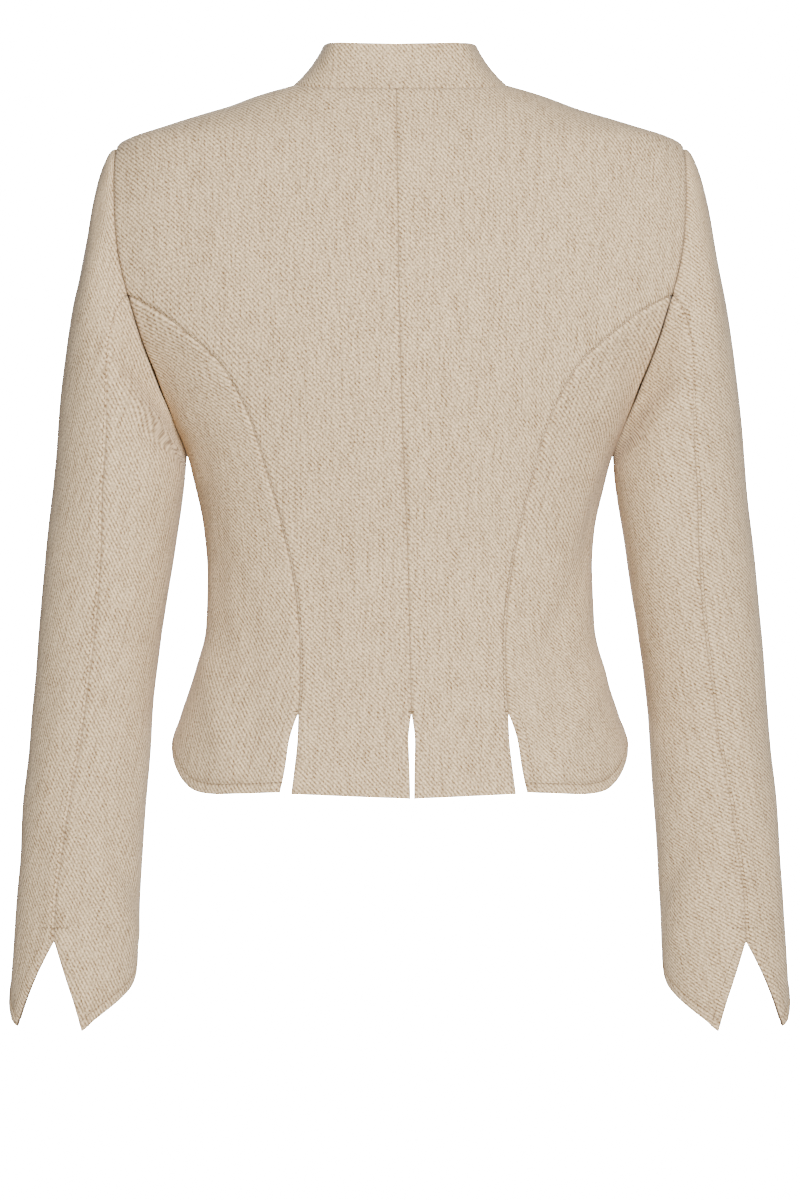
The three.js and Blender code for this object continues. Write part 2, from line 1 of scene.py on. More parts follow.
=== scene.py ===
import bpy
import numpy as np
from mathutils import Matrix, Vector


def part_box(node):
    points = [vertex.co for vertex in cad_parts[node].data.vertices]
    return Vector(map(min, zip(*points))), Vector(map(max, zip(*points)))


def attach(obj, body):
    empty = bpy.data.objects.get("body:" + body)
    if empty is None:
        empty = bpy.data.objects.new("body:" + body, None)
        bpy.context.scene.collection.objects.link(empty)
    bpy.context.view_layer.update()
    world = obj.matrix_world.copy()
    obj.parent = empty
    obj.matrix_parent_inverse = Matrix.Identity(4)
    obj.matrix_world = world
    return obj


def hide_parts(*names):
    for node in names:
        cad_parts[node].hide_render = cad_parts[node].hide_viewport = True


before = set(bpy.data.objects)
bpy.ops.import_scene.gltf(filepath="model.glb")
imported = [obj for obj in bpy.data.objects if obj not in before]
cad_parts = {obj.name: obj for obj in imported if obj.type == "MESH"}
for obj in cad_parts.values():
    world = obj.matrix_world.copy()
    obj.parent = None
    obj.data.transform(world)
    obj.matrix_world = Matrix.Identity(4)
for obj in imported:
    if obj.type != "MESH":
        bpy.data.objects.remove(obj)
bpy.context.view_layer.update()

bl_info = {
    "name": "Cropped Blazer",
    "version": (1, 0, 0),
    "blender": (4, 5, 0),
    "location": "3D View > Sidebar > Blazer",
    "description": "Makes a fitted blazer with a stand collar, slit hem and notched cuffs",
    "category": "Add Mesh",
}

MM = 0.001
SIDES = {"left": 1, "right": -1}
KINDS = ("back", "side", "front", "upper_sleeve", "under_sleeve")
PIECES = ["collar"] + [f"{kind}_{side}" for kind in KINDS for side in SIDES]

# ---- Cut of the garment, in millimetres ----
NECK_HALF = 78
SHOULDER_HALF = 203
SHOULDER_DROP = 44
NECK_DROP_BACK = 5.5
UNDERARM = -258
SLIT_TOP = -447
BACK_HEM = -507
FRONT_HEM = -440
LAP_LIFT = 1.7
LAP_BLEND = (20, 62)
BICEPS = -285
NOTCH_TOP = -613
CUFF_FRONT = -604
FRONT_SEAM = -125
BACK_POWER = 2.35
FRONT_POWER = 2.15
SLEEVE_POWER = 2.1
LEAN = 0.4
SIDE_RADIUS = 150


def table(names, rows):
    """Columns of a short table, by name."""
    return dict(zip(names.split(), np.array(rows, float).T))


# Rings of the body: half width, y of the back, -y of the front, y of the side line.
BODY = table("z half back front side", [
    [-510, 168, 96, 119, -8],
    [-474, 164, 91, 116.5, -9],
    [-451, 157, 86.5, 114.5, -9.5],
    [-421, 147, 79, 111, -11],
    [-386, 139, 71.5, 105.5, -13],
    [-350, 138, 69, 104, -14],
    [-314, 141, 73.5, 111, -12.5],
    [-278, 148.3, 80.5, 122, -11],
    [-266, 151.2, 83, 125, -11],
    [-258, 153.6, 84.3, 126.5, -11],
    [-242, 161, 87, 128, -10],
    [-220, 173.5, 90.5, 127, -10],
    [-198, 188, 93, 123, -9],
    [-178, 203, 94.3, 118.5, -8],
    [-160, 214, 95, 114, -7],
    [-140, 223, 94.5, 109, -6],
    [-110, 226, 92, 101, -4],
    [-90, 224, 88, 96, -3],
    [-70, 219, 84, 90, -2],
    [-55, 212, 80, 86, -1],
    [-44, 203, 77, 82, -1],
    [-38, 195.5, 74.5, 79.5, -2],
    [-29, 169, 70.5, 76, -3],
    [-16, 128, 64, 71, -4],
    [-6, 100, 58.5, 66, -4],
    [0, 78, 54, 62, -4],
    [6, 56, 50, 58, -4],
])
# Rings of the sleeve: centre, half width, half depth, and the angle of the back seam.
SLEEVE = table("z x y half_x half_y seam", [
    [-690, 241, -56, 44, 38, 73],
    [-640, 237, -46, 44.3, 38, 73],
    [-583, 232.5, -36, 44.3, 40, 72],
    [-549, 230, -30, 43.4, 42.5, 75],
    [-514, 227.5, -24, 43.6, 45, 79],
    [-475, 223.5, -18, 42.8, 48, 84],
    [-440, 220.8, -13, 42.6, 50, 87],
    [-386, 215, -8, 43.8, 53, 89],
    [-332, 208.2, -5, 45.4, 57, 86],
    [-285, 201.8, -4, 46.4, 60, 80],
    [-240, 198, -4, 46.6, 61, 78],
])
ARMHOLE_BACK = np.array([
    [203, -44], [203.2, -47], [203.4, -53], [203.6, -64], [203.2, -84], [201.5, -110], [197.5, -134],
    [193, -151],
])
ARMHOLE_LOW_BACK = np.array([
    [193, -151], [190.2, -161], [184.4, -180], [177, -200], [168, -222], [159.4, -243], [155.2, -253.5],
    [153.6, -258],
])
ARMHOLE_LOW_FRONT = np.array([[153.6, -258], [155, -253], [159, -236], [163, -212], [167, -186]])
ARMHOLE_FRONT = np.array([
    [203, -44], [202.8, -47], [202, -53], [199, -64], [191, -84], [181, -110], [173, -140], [167, -186],
])
CENTRE_BACK = table("z x", [
    [-510, -8.6], [-447, -8], [-410, -7.2], [-343, -5.6], [-240, -1.6], [-126, 1.1], [-5.5, 2.5],
])
PRINCESS_BACK = np.array([
    [193, -151], [170.8, -163.5], [148.2, -181.5], [127.3, -200.5], [113.9, -223], [104.1, -245.5],
    [97.5, -267.5], [87, -306], [78.2, -345.7], [74.6, -370.4], [72.7, -401.5], [72.6, -422], [73.9, -447],
])
SLIT_CENTRE_EDGE = np.array([[73.9, -447], [74.6, -466], [76.6, -485], [79, -504]])
SLIT_SIDE_EDGE = np.array([[74.4, -447], [80.5, -466], [83.3, -485], [87, -503]])
CENTRE_SLIT_EDGE = table("gap z", [[0, -447], [2.2, -466], [1.7, -485], [1.3, -507]])
PRINCESS_FRONT = np.array([
    [167, -186], [150, -200], [128, -218], [110, -240], [98, -268], [88, -306], [82, -345], [80, -370],
    [80, -395], [82, -418], [84, -440],
])
SIDE_HEM = np.array([
    [33.6, -503], [40, -504.3], [47, -505], [53, -504.4], [58, -502.6], [64.5, -497], [73.5, -486], [82, -475],
    [90, -466], [102, -455], [118, -447], [134, -442], [151.5, -440],
])
FRONT_EDGE = np.array([
    [0, -172], [-18, -182], [-18, -240], [-18, -300], [-18, -345], [-14, -374], [-2, -402], [18, -425],
    [46, -440],
])
BACK_NECK = np.array([[0, -5.5], [30, -5.3], [58, -4.2], [72, -2], [78, 0]])
NECK_FRONT = np.array([
    [78, 0], [77.6, -1.5], [76, -5], [73.5, -12], [69, -26], [61, -50], [49, -80], [34.5, -115], [18, -147],
    [0, -172],
])
COLLAR = table("share rise inward back", [
    [0, 32.5, 0, -8],
    [0.14, 33, 11, -7],
    [0.25, 30.6, 22.5, -6],
    [0.34, 27.5, 22.5, -2],
    [0.42, 22, 20, 4],
    [0.52, 19.5, 16.5, 8],
    [0.65, 17, 13, 7],
    [0.8, 14, 9.5, 5],
    [0.92, 11, 6, 3],
    [1, 8, 2, 2],
])
NOTCH_OUTER = np.array([[73, -613], [55, -640], [33, -676]])
NOTCH_INNER = np.array([[73, -613], [88, -645], [103, -679]])
HEM_OUTER = np.array([[33, -676], [17, -668], [0, -656], [-30, -633], [-70, -612], [-125, -604]])
HEM_INNER = np.array([
    [103, -679], [112, -672], [124, -665], [144, -655], [172, -642], [200, -620], [235, -604],
])
BUTTONS = {"button_top": -196, "button_middle": -260, "button_bottom": -324}

# Soft folds of the body and the sleeves: where each lies across and up, its angle from upright in
# degrees, its half length, half width and depth (+ stands out, - lies in), and which face it is on.
BODY_FOLDS = table("x z angle length width depth face", [
    [128, -352, 12, 62, 9, -1.7, 1],
    [-126, -345, -10, 70, 9, -1.6, 1],
    [108, -385, 18, 48, 8, -1.1, 1],
    [-110, -392, -20, 44, 8, -1.2, 1],
    [142, -300, 4, 46, 8, -1.2, 1],
    [-143, -306, -5, 52, 8, -1.2, 1],
    [130, -450, 20, 46, 10, 1.8, 1],
    [-128, -448, -18, 50, 10, 1.9, 1],
    [104, -468, 9, 40, 8, -1.3, 1],
    [-106, -470, -8, 38, 8, -1.3, 1],
    [60, -352, 6, 60, 11, -0.9, 1],
    [-66, -360, -9, 52, 11, -0.9, 1],
    [24, -330, 2, 70, 12, 0.6, 1],
    [-34, -340, -3, 64, 12, 0.7, 1],
    [164, -196, -38, 40, 9, -1.5, 1],
    [-163, -200, 40, 42, 9, -1.5, 1],
    [150, -232, -24, 32, 7, 1.1, 1],
    [-149, -236, 26, 30, 7, 1.1, 1],
    [150, -110, 4, 52, 13, -1.0, 1],
    [-152, -114, -6, 56, 13, -1.0, 1],
    [98, -30, 66, 34, 9, -0.8, 1],
    [-99, -30, -66, 34, 9, -0.8, 1],
    [40, -30, 84, 60, 9, -0.6, 1],
    [120, -350, 12, 58, 9, -1.5, -1],
    [-122, -356, -12, 62, 9, -1.5, -1],
    [70, -330, 22, 46, 10, -1.1, -1],
    [-74, -322, -20, 50, 10, -1.2, -1],
    [150, -205, -40, 44, 9, -1.4, -1],
    [-151, -202, 38, 40, 9, -1.4, -1],
    [40, -270, 70, 34, 8, -0.8, -1],
    [-44, -332, -70, 34, 8, -0.8, -1],
    [118, -70, 14, 40, 12, -0.9, -1],
    [-120, -74, -15, 42, 12, -0.9, -1],
])
SLEEVE_FOLDS = table("x z angle length width depth face", [
    [180, -212, 62, 24, 6, -1.5, 1],
    [184, -232, 68, 27, 6, 1.1, 1],
    [182, -250, 70, 22, 6, -1.3, 1],
    [196, -300, 20, 44, 8, -0.9, 1],
    [216, -352, 66, 26, 8, -1.0, 1],
    [206, -392, 72, 30, 8, -1.2, 1],
    [226, -420, -64, 26, 8, -0.9, 1],
    [204, -446, 60, 24, 8, -1.0, 1],
    [196, -566, 38, 44, 8, -1.9, 1],
    [206, -590, 44, 30, 7, 1.3, 1],
    [250, -540, -8, 44, 8, -0.7, 1],
    [244, -470, -4, 54, 9, 0.7, 1],
    [222, -110, -12, 40, 9, -1.0, 1],
    [232, -190, -6, 60, 10, 0.7, 1],
    [186, -240, -58, 26, 7, -1.6, -1],
    [196, -268, -62, 24, 7, -1.2, -1],
    [214, -372, -64, 30, 8, -1.6, -1],
    [208, -398, -70, 32, 8, -1.6, -1],
    [214, -424, -58, 28, 8, -1.3, -1],
    [222, -452, -50, 24, 8, -1.0, -1],
    [236, -540, 20, 40, 9, -1.0, -1],
])

# ---- Making, in millimetres ----
HALF_WALL = 1.0
EDGE_HALF = 0.6
SEAM_SINK = 1.15
SEAM_ROLL = 1.5
# Width of the painted shade beside a sewn edge and along hem stitching.
SEAM_SHADE = 0.8
SEAM_HOLD = 22
SEAM_KEEP = 0.25
SEAM_PUFF = 0.4
STITCH_PULL = 0.2
HEM_PULL = 0.35
BODY_FOLD_GAIN = 1.4
SLEEVE_FOLD_GAIN = 1.9
EDGE_ROWS = (0.0, 0.3, 0.6, 1.0, 1.5, 2.1, 2.6, 3.1, 4.0, 5.2, 6.2, 6.8, 7.3, 8.2)
GRID_STEP = 3.6
STITCH_LONG = 1.9
STITCH_PITCH = 2.9
STITCH_WIDE = 0.62
SEAM_STITCH = 2.6
HEM_STITCH = 7.0
HEM_LIFT = 0.45
TACK_HALF = 2.2
SLIT_X = 74.2
BAR_ABOVE = 10.0
BAR_TURN = 12
HOLE_OUTER = 2.0
HOLE_INNER = -20.0
HOLE_HALF = 1.0
CAP_OUT = 0.94
CAP_LEAVE = (18, 62)
CAP_ARRIVE = 0.5
COLLAR_BEND = 2.2
COLLAR_END = 5


# ---- Curves ----
def through(xs, ys):
    """A piecewise cubic through the points, whose slope at each is the harmonic mean of its neighbours'."""
    order = np.argsort(xs)
    x, y = np.asarray(xs, float)[order], np.asarray(ys, float)[order]
    slopes = np.diff(y) / np.diff(x)
    before, after = slopes[:-1], slopes[1:]
    same = before * after > 0
    inner = np.where(same, 2 * before * after / np.where(same, before + after, 1), 0)
    rates = np.concatenate([slopes[:1], inner, slopes[-1:]])

    def at(value):
        value = np.asarray(value, float)
        i = np.clip(np.searchsorted(x, value) - 1, 0, len(x) - 2)
        width = x[i + 1] - x[i]
        t = (value - x[i]) / width
        rise = y[i + 1] - y[i]
        bend = (1 - t) * (rates[i] * width - rise) - t * (rates[i + 1] * width - rise)
        inside = y[i] + t * rise + t * (1 - t) * bend
        low = y[0] + (value - x[0]) * rates[0]
        high = y[-1] + (value - x[-1]) * rates[-1]
        return np.where(value < x[0], low, np.where(value > x[-1], high, inside))

    return at


def lengths(points, axis=0):
    """Running length along a run of points."""
    steps = np.linalg.norm(np.diff(points, axis=axis), axis=-1)
    pad = [(0, 0)] * steps.ndim
    pad[axis] = (1, 0)
    return np.pad(np.cumsum(steps, axis=axis), pad)


def shares(points):
    """Running length along a run of points, as shares from 0 to 1."""
    run = lengths(np.asarray(points, float))
    return run / run[-1]


def trace(points, wanted):
    """Pairs at the wanted shares of a smooth curve through points."""
    points = np.asarray(points, float)
    at = shares(points)
    return np.stack([through(at, points[:, k])(wanted) for k in range(points.shape[1])], axis=1)


def join(*runs):
    """Runs that meet end to end, each meeting point kept once."""
    return np.concatenate([runs[0]] + [run[1:] for run in runs[1:]])


def steps_for(length, start=False, end=False, power=1.0):
    """Shares of a length in even steps (or steps that grow by a power), finer by the marked ends."""
    count = max(4, int(round(length / GRID_STEP)))
    even = np.linspace(0, 1, count + 1) ** power
    edge = np.array(EDGE_ROWS) / length
    kept = even[(even > (edge[-1] * 1.4 if start else -1)) & (even < (1 - edge[-1] * 1.4 if end else 2))]
    return np.concatenate([edge if start else [], kept, (1 - edge)[::-1] if end else []])


def ease(value, low, high):
    """Smooth step from 0 at low to 1 at high."""
    t = np.clip((np.asarray(value, float) - low) / (high - low), 0, 1)
    return t * t * (3 - 2 * t)


def powered(value, power):
    """Power of the size of a value, with the value's sign."""
    return np.sign(value) * np.abs(value) ** power


def unit(vectors):
    return vectors / np.maximum(np.linalg.norm(vectors, axis=-1, keepdims=True), 1e-9)


def fill(top, bottom, left, right):
    """Grid inside four runs: the two ruled surfaces between opposite runs, less the one through the corners."""
    c = ((shares(top) + shares(bottom)) / 2)[None, :, None]
    t = ((shares(left) + shares(right)) / 2)[:, None, None]
    corners = (1 - t) * ((1 - c) * top[0] + c * top[-1]) + t * ((1 - c) * bottom[0] + c * bottom[-1])
    return (1 - t) * top[None] + t * bottom[None] + (1 - c) * left[:, None] + c * right[:, None] - corners


# ---- Surfaces: the middle of the cloth ----
CENTRE = np.array([0.0, 0.0, -240.0])
body = {name: through(BODY["z"], BODY[name]) for name in ("half", "back", "front", "side")}
sleeve = {name: through(SLEEVE["z"], SLEEVE[name]) for name in ("x", "y", "half_x", "half_y", "seam")}
centre_back = through(CENTRE_BACK["z"], CENTRE_BACK["x"])


def body_point(angle, z):
    """Superellipse ring of the body at height z: angle 0 is centre back, a half turn centre front."""
    behind = np.cos(angle) >= 0
    power = np.where(behind, 2 / BACK_POWER, 2 / FRONT_POWER)
    reach = np.where(behind, body["back"](z) - body["side"](z), body["front"](z) + body["side"](z))
    x = body["half"](z) * powered(np.sin(angle), power)
    y = body["side"](z) + reach * powered(np.cos(angle), power)
    return np.stack([x, y, z + 0 * x], axis=-1)


def sleeve_point(degrees, z):
    """Superellipse ring of the sleeve at height z: angle 0 is the outer side, a quarter turn the back."""
    c, s = np.cos(np.radians(degrees)), np.sin(np.radians(degrees))
    x = sleeve["x"](z) + sleeve["half_x"](z) * powered(c, 2 / SLEEVE_POWER)
    y = sleeve["y"](z) + sleeve["half_y"](z) * powered(s, 2 / SLEEVE_POWER)
    return np.stack([x, y, z + 0 * x], axis=-1)


def angle_behind(x, z):
    """Ring angle of the back at x, z: the inverse of the superellipse."""
    share = np.minimum(1, np.abs(x) / body["half"](z))
    return np.sign(x) * np.arcsin(share ** (BACK_POWER / 2))


def angle_before(x, z):
    """Ring angle of the front at x, z: the inverse of the superellipse."""
    share = np.minimum(1, np.abs(x) / body["half"](z))
    return np.pi - np.sign(x) * np.arcsin(share ** (FRONT_POWER / 2))


def grid_normals(points, centre):
    """Unit normals of a grid from its central differences, turned away from the centre line."""
    normals = unit(np.cross(np.gradient(points, axis=1), np.gradient(points, axis=0)))
    return normals * np.sign(np.mean(np.sum(normals * (points - centre), axis=-1)))


def fold_heights(points, folds, middle):
    """Sum of soft troughs and ridges: a bell across each fold times a rounded window along it."""
    total = np.zeros(points.shape[:-1])
    for x, z, angle, length, width, depth, face in zip(*folds.values()):
        turn = np.radians(angle)
        dx, dz = points[..., 0] - x, points[..., 2] - z
        along = dz * np.cos(turn) + dx * np.sin(turn)
        over = dx * np.cos(turn) - dz * np.sin(turn)
        over = over + 0.12 * length * np.sin(along / length * 1.7)
        bell = np.exp(-((over / width) ** 2)) * np.exp(-((along / length) ** 4))
        facing = ease((points[..., 1] - middle) * face, -12, 18)
        total += depth * bell * facing
    return total


def unevenness(points, seed):
    """Low, slow waves that keep a large panel from looking turned on a lathe."""
    x, y, z = np.moveaxis(points, -1, 0)
    waves = np.sin(x / 31 + seed) * np.sin(z / 47 + 1.3 * seed) + 0.6 * np.sin(x / 17 - z / 29 + 2.1 * seed)
    return 0.28 * waves + 0.12 * np.sin(y / 11 + z / 13 + seed)


def edge_distance(points):
    """Distance of each grid point from the left, right, top and bottom edges, along the cloth."""
    across, down = lengths(points, 1), lengths(points, 0)
    return {
        "left": across,
        "right": across[:, -1:] - across,
        "top": down,
        "bottom": down[-1:] - down,
    }


def finished(points, centre, folds, middle, seams, turned, seed):
    """Cloth laid on its form: folds and waves along the normal, edges that sink into the seams, and hems
    turned up inside, which stand out a little as far in as their stitching."""
    normals = grid_normals(points, centre)
    away = edge_distance(points)
    hold = np.ones(points.shape[:-1])
    sink = np.zeros(points.shape[:-1])
    for edge in seams:
        hold *= ease(away[edge], 0, SEAM_HOLD) * (1 - SEAM_KEEP) + SEAM_KEEP
        sink -= SEAM_SINK * np.exp(-((away[edge] / SEAM_ROLL) ** 2))
        sink += SEAM_PUFF * np.exp(-(((away[edge] - 5) / 4) ** 2))
        sink -= STITCH_PULL * np.exp(-(((away[edge] - SEAM_STITCH) / 0.45) ** 2)) * (edge != "top")
    for edge in turned:
        sink += HEM_LIFT * (1 - ease(away[edge], HEM_STITCH - 0.8, HEM_STITCH + 0.8))
        sink -= HEM_PULL * np.exp(-(((away[edge] - HEM_STITCH) / 0.6) ** 2))
    lift = hold * (fold_heights(points, folds, middle) + unevenness(points, seed)) + sink
    laid = points + normals * lift[..., None]
    return laid, grid_normals(laid, centre)


# ---- Meshes ----
def unrolled(points, normals, upright, column):
    """Cloth coordinates: each step between grid points is measured along the level tangent of the surface
    and along the upright one, and the steps are summed down one column and then outwards along each row."""
    level = unit(np.cross(np.array(upright, float), normals))
    axes = (level, np.cross(normals, level))
    down, over = np.diff(points, axis=0), np.diff(points, axis=1)
    both = []
    for axis in axes:
        first = np.cumsum(np.sum(down * (axis[1:] + axis[:-1]) / 2, axis=-1)[:, column])
        steps = np.cumsum(np.sum(over * (axis[:, 1:] + axis[:, :-1]) / 2, axis=-1), axis=1)
        steps = np.pad(steps, ((0, 0), (1, 0)))
        both.append(np.pad(first, (1, 0))[:, None] + steps - steps[:, column : column + 1])
    return np.stack(both, axis=-1)


def shell(points, normals, cloth, kind):
    """Closed wall: the middle surface moved out and in along its normals, thinner towards free edges, with
    a rim round it. Each point also has its cloth coordinates and a weight of painted shade, which grows as it
    nears a sewn edge and is fainter along hem stitching."""
    away = edge_distance(points)
    # Painted shade: near is a weight that darkens the cloth colour where a sewn edge sinks into its groove.
    near = np.zeros(points.shape[:-1])
    for edge in SEWN[kind]:
        near = np.maximum(near, np.exp(-((away[edge] / SEAM_SHADE) ** 2)))
    # Painted shade, fainter, along the groove of each hem stitching line.
    for edge in TURNED.get(kind, ()):
        near = np.maximum(near, 0.4 * np.exp(-(((away[edge] - HEM_STITCH) / SEAM_SHADE) ** 2)))
    half = np.full(points.shape[:-1], HALF_WALL)
    for edge in FREE[kind]:
        half = np.minimum(half, EDGE_HALF + (HALF_WALL - EDGE_HALF) * ease(away[edge], 0, 1.6))
    rows, cols = half.shape
    co = np.concatenate([(points + s * normals * half[..., None]).reshape(-1, 3) for s in (1, -1)])
    index = np.arange(rows * cols).reshape(rows, cols)
    corners = [index[:-1, :-1], index[1:, :-1], index[1:, 1:], index[:-1, 1:]]
    quads = np.stack(corners, axis=-1).reshape(-1, 4)
    rim = np.concatenate([index[0, :-1], index[:-1, -1], index[-1, :0:-1], index[:0:-1, 0]])
    ahead = np.roll(rim, -1)
    size = rows * cols
    walls = np.stack([rim, ahead, ahead + size, rim + size], axis=-1)
    faces = np.concatenate([quads, quads[:, ::-1] + size, walls])
    return co, faces, np.tile(cloth.reshape(-1, 2), (2, 1)), np.tile(near.ravel(), 2)


def round_quads(index):
    """Quads of a grid of point numbers whose rows run all the way round."""
    ahead = np.roll(index, -1, axis=1)
    return np.stack([index[:-1], index[1:], ahead[1:], ahead[:-1]], axis=-1).reshape(-1, 4)


def outward(co, faces):
    """Faces turned so that the volume they enclose is positive."""
    a, b, c, d = (co[faces[:, k]] for k in range(4))
    volume = np.sum(a * np.cross(b, c)) + np.sum(a * np.cross(c, d))
    return faces if volume > 0 else faces[:, ::-1]


def mesh_object(name, co, faces, cloth=None, near=None):
    """A mesh object at the origin from arrays of points in millimetres and quads, with cloth coordinates
    and a weight of painted seam shade where it is cloth."""
    mesh = bpy.data.meshes.new(name)
    mesh.vertices.add(len(co))
    mesh.vertices.foreach_set("co", (np.asarray(co) * MM).astype(np.float32).ravel())
    mesh.loops.add(faces.size)
    mesh.loops.foreach_set("vertex_index", faces.astype(np.int32).ravel())
    mesh.polygons.add(len(faces))
    mesh.polygons.foreach_set("loop_start", np.arange(0, faces.size, 4, dtype=np.int32))
    mesh.polygons.foreach_set("use_smooth", np.ones(len(faces), bool))
    if cloth is not None:
        layer = mesh.uv_layers.new(name="cloth")
        layer.data.foreach_set("uv", (cloth[faces.ravel()] * MM).astype(np.float32).ravel())
    if near is not None:
        # Weight of painted shade at seams, read by the cloth material to darken its colour.
        mesh.attributes.new("painted_seam_shade", "FLOAT", "POINT").data.foreach_set("value", near.astype(np.float32))
    mesh.update()
    mesh.validate()
    obj = bpy.data.objects.new(name, mesh)
    bpy.context.scene.collection.objects.link(obj)
    return obj


def cloth_piece(name, node, points, normals, cloth, kind, material):
    """One sewn piece: its closed shell, put in place of the node it stands for, which is hidden. The flat size it
    was cut to is worked out but not used.
    """
    co, faces, cloth, near = shell(points, normals, cloth, kind)
    cloth = cloth + 97.0 * (1 + sorted(PIECES).index(node)) * np.array([1, 0.7])
    obj = mesh_object(name, co, outward(co, faces), cloth, near)
    obj.data.materials.append(material)
    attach(obj, "root")
    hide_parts(node)
    across, down = lengths(points, 1), lengths(points, 0)
    a = np.diff(points, axis=1)[:-1]
    b = np.diff(points, axis=0)[:, :-1]
    area = float(np.linalg.norm(np.cross(a, b), axis=-1).sum()) * MM * MM
    flat = [float(across[:, -1].max()) * MM, float(down[-1].max()) * MM]
    if area > flat[0] * flat[1]:
        flat = [value * np.sqrt(area / (flat[0] * flat[1])) * 1.01 for value in flat]
    return obj


def inset_path(points, normals, edge, distance):
    """Points and normals at a fixed distance in from one edge, measured along the cloth."""
    if edge in ("top", "bottom"):
        points, normals = points.swapaxes(0, 1), normals.swapaxes(0, 1)
    if edge in ("right", "bottom"):
        points, normals = points[:, ::-1], normals[:, ::-1]
    run = lengths(points, 1)
    rows = np.arange(len(points))
    k = np.clip((run < distance).sum(axis=1) - 1, 0, points.shape[1] - 2)
    t = ((distance - run[rows, k]) / np.maximum(run[rows, k + 1] - run[rows, k], 1e-6))[:, None]
    t = np.clip(t, 0, 1)
    return (
        points[rows, k] * (1 - t) + points[rows, k + 1] * t,
        normals[rows, k] * (1 - t) + normals[rows, k + 1] * t,
    )


def placed(wanted, run, values):
    """Values along a path, at the wanted running lengths."""
    return np.stack([np.interp(wanted, run, values[:, k]) for k in range(3)], axis=1)


def stitch_run(path, normals, pitch=STITCH_PITCH, long=STITCH_LONG, wide=STITCH_WIDE):
    """Stitches at an even pitch along a path: each a small four-sided spindle that dips at both ends."""
    run = lengths(path)
    centres = np.arange(pitch / 2, run[-1], pitch)
    at, up = placed(centres, run, path), placed(centres, run, normals)
    along = unit(placed(centres + 0.5, run, path) - placed(centres - 0.5, run, path))
    side = unit(np.cross(up, along))
    stations = np.array([-1.0, -0.7, 0.0, 0.7, 1.0]) * long / 2
    widths = np.array([0.15, 0.8, 1.0, 0.8, 0.15]) * wide / 2
    lifts = np.array([-0.32, -0.02, 0.06, -0.02, -0.32]) + HALF_WALL + 0.1
    turns = np.arange(4) * np.pi / 2
    ring_side = widths[:, None] * np.cos(turns)[None]
    ring_up = widths[:, None] * np.sin(turns)[None] * 0.8 + lifts[:, None]
    co = (
        at[:, None, None]
        + along[:, None, None] * stations[None, :, None, None]
        + side[:, None, None] * ring_side[None, :, :, None]
        + up[:, None, None] * ring_up[None, :, :, None]
    )
    base = np.arange(len(at))[:, None, None, None] * 20
    ring = np.arange(4)[None, :, None, None] * 4
    turn = np.arange(4)[None, None, :, None]
    follow = (turn + 1) % 4
    near = base + ring
    corners = [near + turn, near + follow, near + 4 + follow, near + 4 + turn]
    quads = np.concatenate(corners, axis=-1).reshape(-1, 4)
    first = base[:, 0, 0]
    caps = np.concatenate([first + np.array([[3, 2, 1, 0]]), first + np.array([[16, 17, 18, 19]])])
    return co.reshape(-1, 3), np.concatenate([quads, caps])


def stitched(name, runs, material):
    """All the stitch runs of one place joined into one mesh."""
    cos, faces, start = [], [], 0
    for co, quads in runs:
        cos.append(co)
        faces.append(quads + start)
        start += len(co)
    co, quads = np.concatenate(cos), np.concatenate(faces)
    obj = mesh_object(name, co, outward(co, quads))
    obj.data.materials.append(material)
    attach(obj, "root")
    return obj


# ---- Outlines, on the wearer's left; side is +1 left, -1 right ----
def leaned(points, side):
    """The seams of the back lean to the wearer's right below the arm."""
    lean = side * LEAN * np.minimum(0, centre_back(points[:, 1]) - centre_back(UNDERARM))
    return points + np.stack([lean, 0 * lean], axis=1)


def on_ridge(xs):
    """Heights at which the body ring is as wide as x: the shoulder seam lies on that ridge."""
    z = np.linspace(-SHOULDER_DROP, 0, 400)
    return np.interp(xs, body["half"](z)[::-1], z[::-1])


ARM_SHARES = steps_for(110, start=True, end=True, power=1.2)
LOW_BACK_SHARES = steps_for(118, start=True)
LOW_FRONT_SHARES = steps_for(75, end=True)
SEAM_SHARES = steps_for(330)
FRONT_SEAM_SHARES = steps_for(275)
SLIT_SHARES = steps_for(58, end=True)
NECK_SHARES = steps_for(95, start=True)
SHOULDER_SHARES = steps_for(132, end=True)
FRONT_ARM_SHARES = steps_for(150, start=True, end=True, power=1.2)

shoulder_x = NECK_HALF + (SHOULDER_HALF - NECK_HALF) * SHOULDER_SHARES
SHOULDER_SEAM = np.stack([shoulder_x, on_ridge(shoulder_x)], axis=1)


def back_neck(side, wanted=NECK_SHARES):
    first = BACK_NECK.copy()
    first[0, 0] = side * centre_back(-NECK_DROP_BACK)
    return trace(first, wanted)


def princess_back(side, edge):
    seam = join(trace(PRINCESS_BACK, SEAM_SHARES), trace(edge, SLIT_SHARES))
    return leaned(seam, side)


def back_grid(side):
    """Centre-back panel over the elevation of the back, lifted onto the body rings."""
    top = join(back_neck(side), SHOULDER_SEAM)
    right = join(trace(ARMHOLE_BACK, ARM_SHARES), princess_back(side, SLIT_CENTRE_EDGE))
    sewn = len(right) - len(SLIT_SHARES)
    down = shares(right)
    above = -NECK_DROP_BACK + (SLIT_TOP + NECK_DROP_BACK) * down[: sewn + 1] / down[sewn]
    z = np.concatenate([above, SLIT_TOP + (BACK_HEM - SLIT_TOP) * SLIT_SHARES[1:]])
    gap = np.where(z < SLIT_TOP, through(CENTRE_SLIT_EDGE["z"], CENTRE_SLIT_EDGE["gap"])(z), 0)
    left = np.stack([side * centre_back(z) + gap, z], axis=1)
    bottom = left[-1] + (right[-1] - left[-1]) * shares(top)[:, None]
    x, z = np.moveaxis(fill(top, bottom, left, right), -1, 0)
    return body_point(angle_behind(x, z), z)


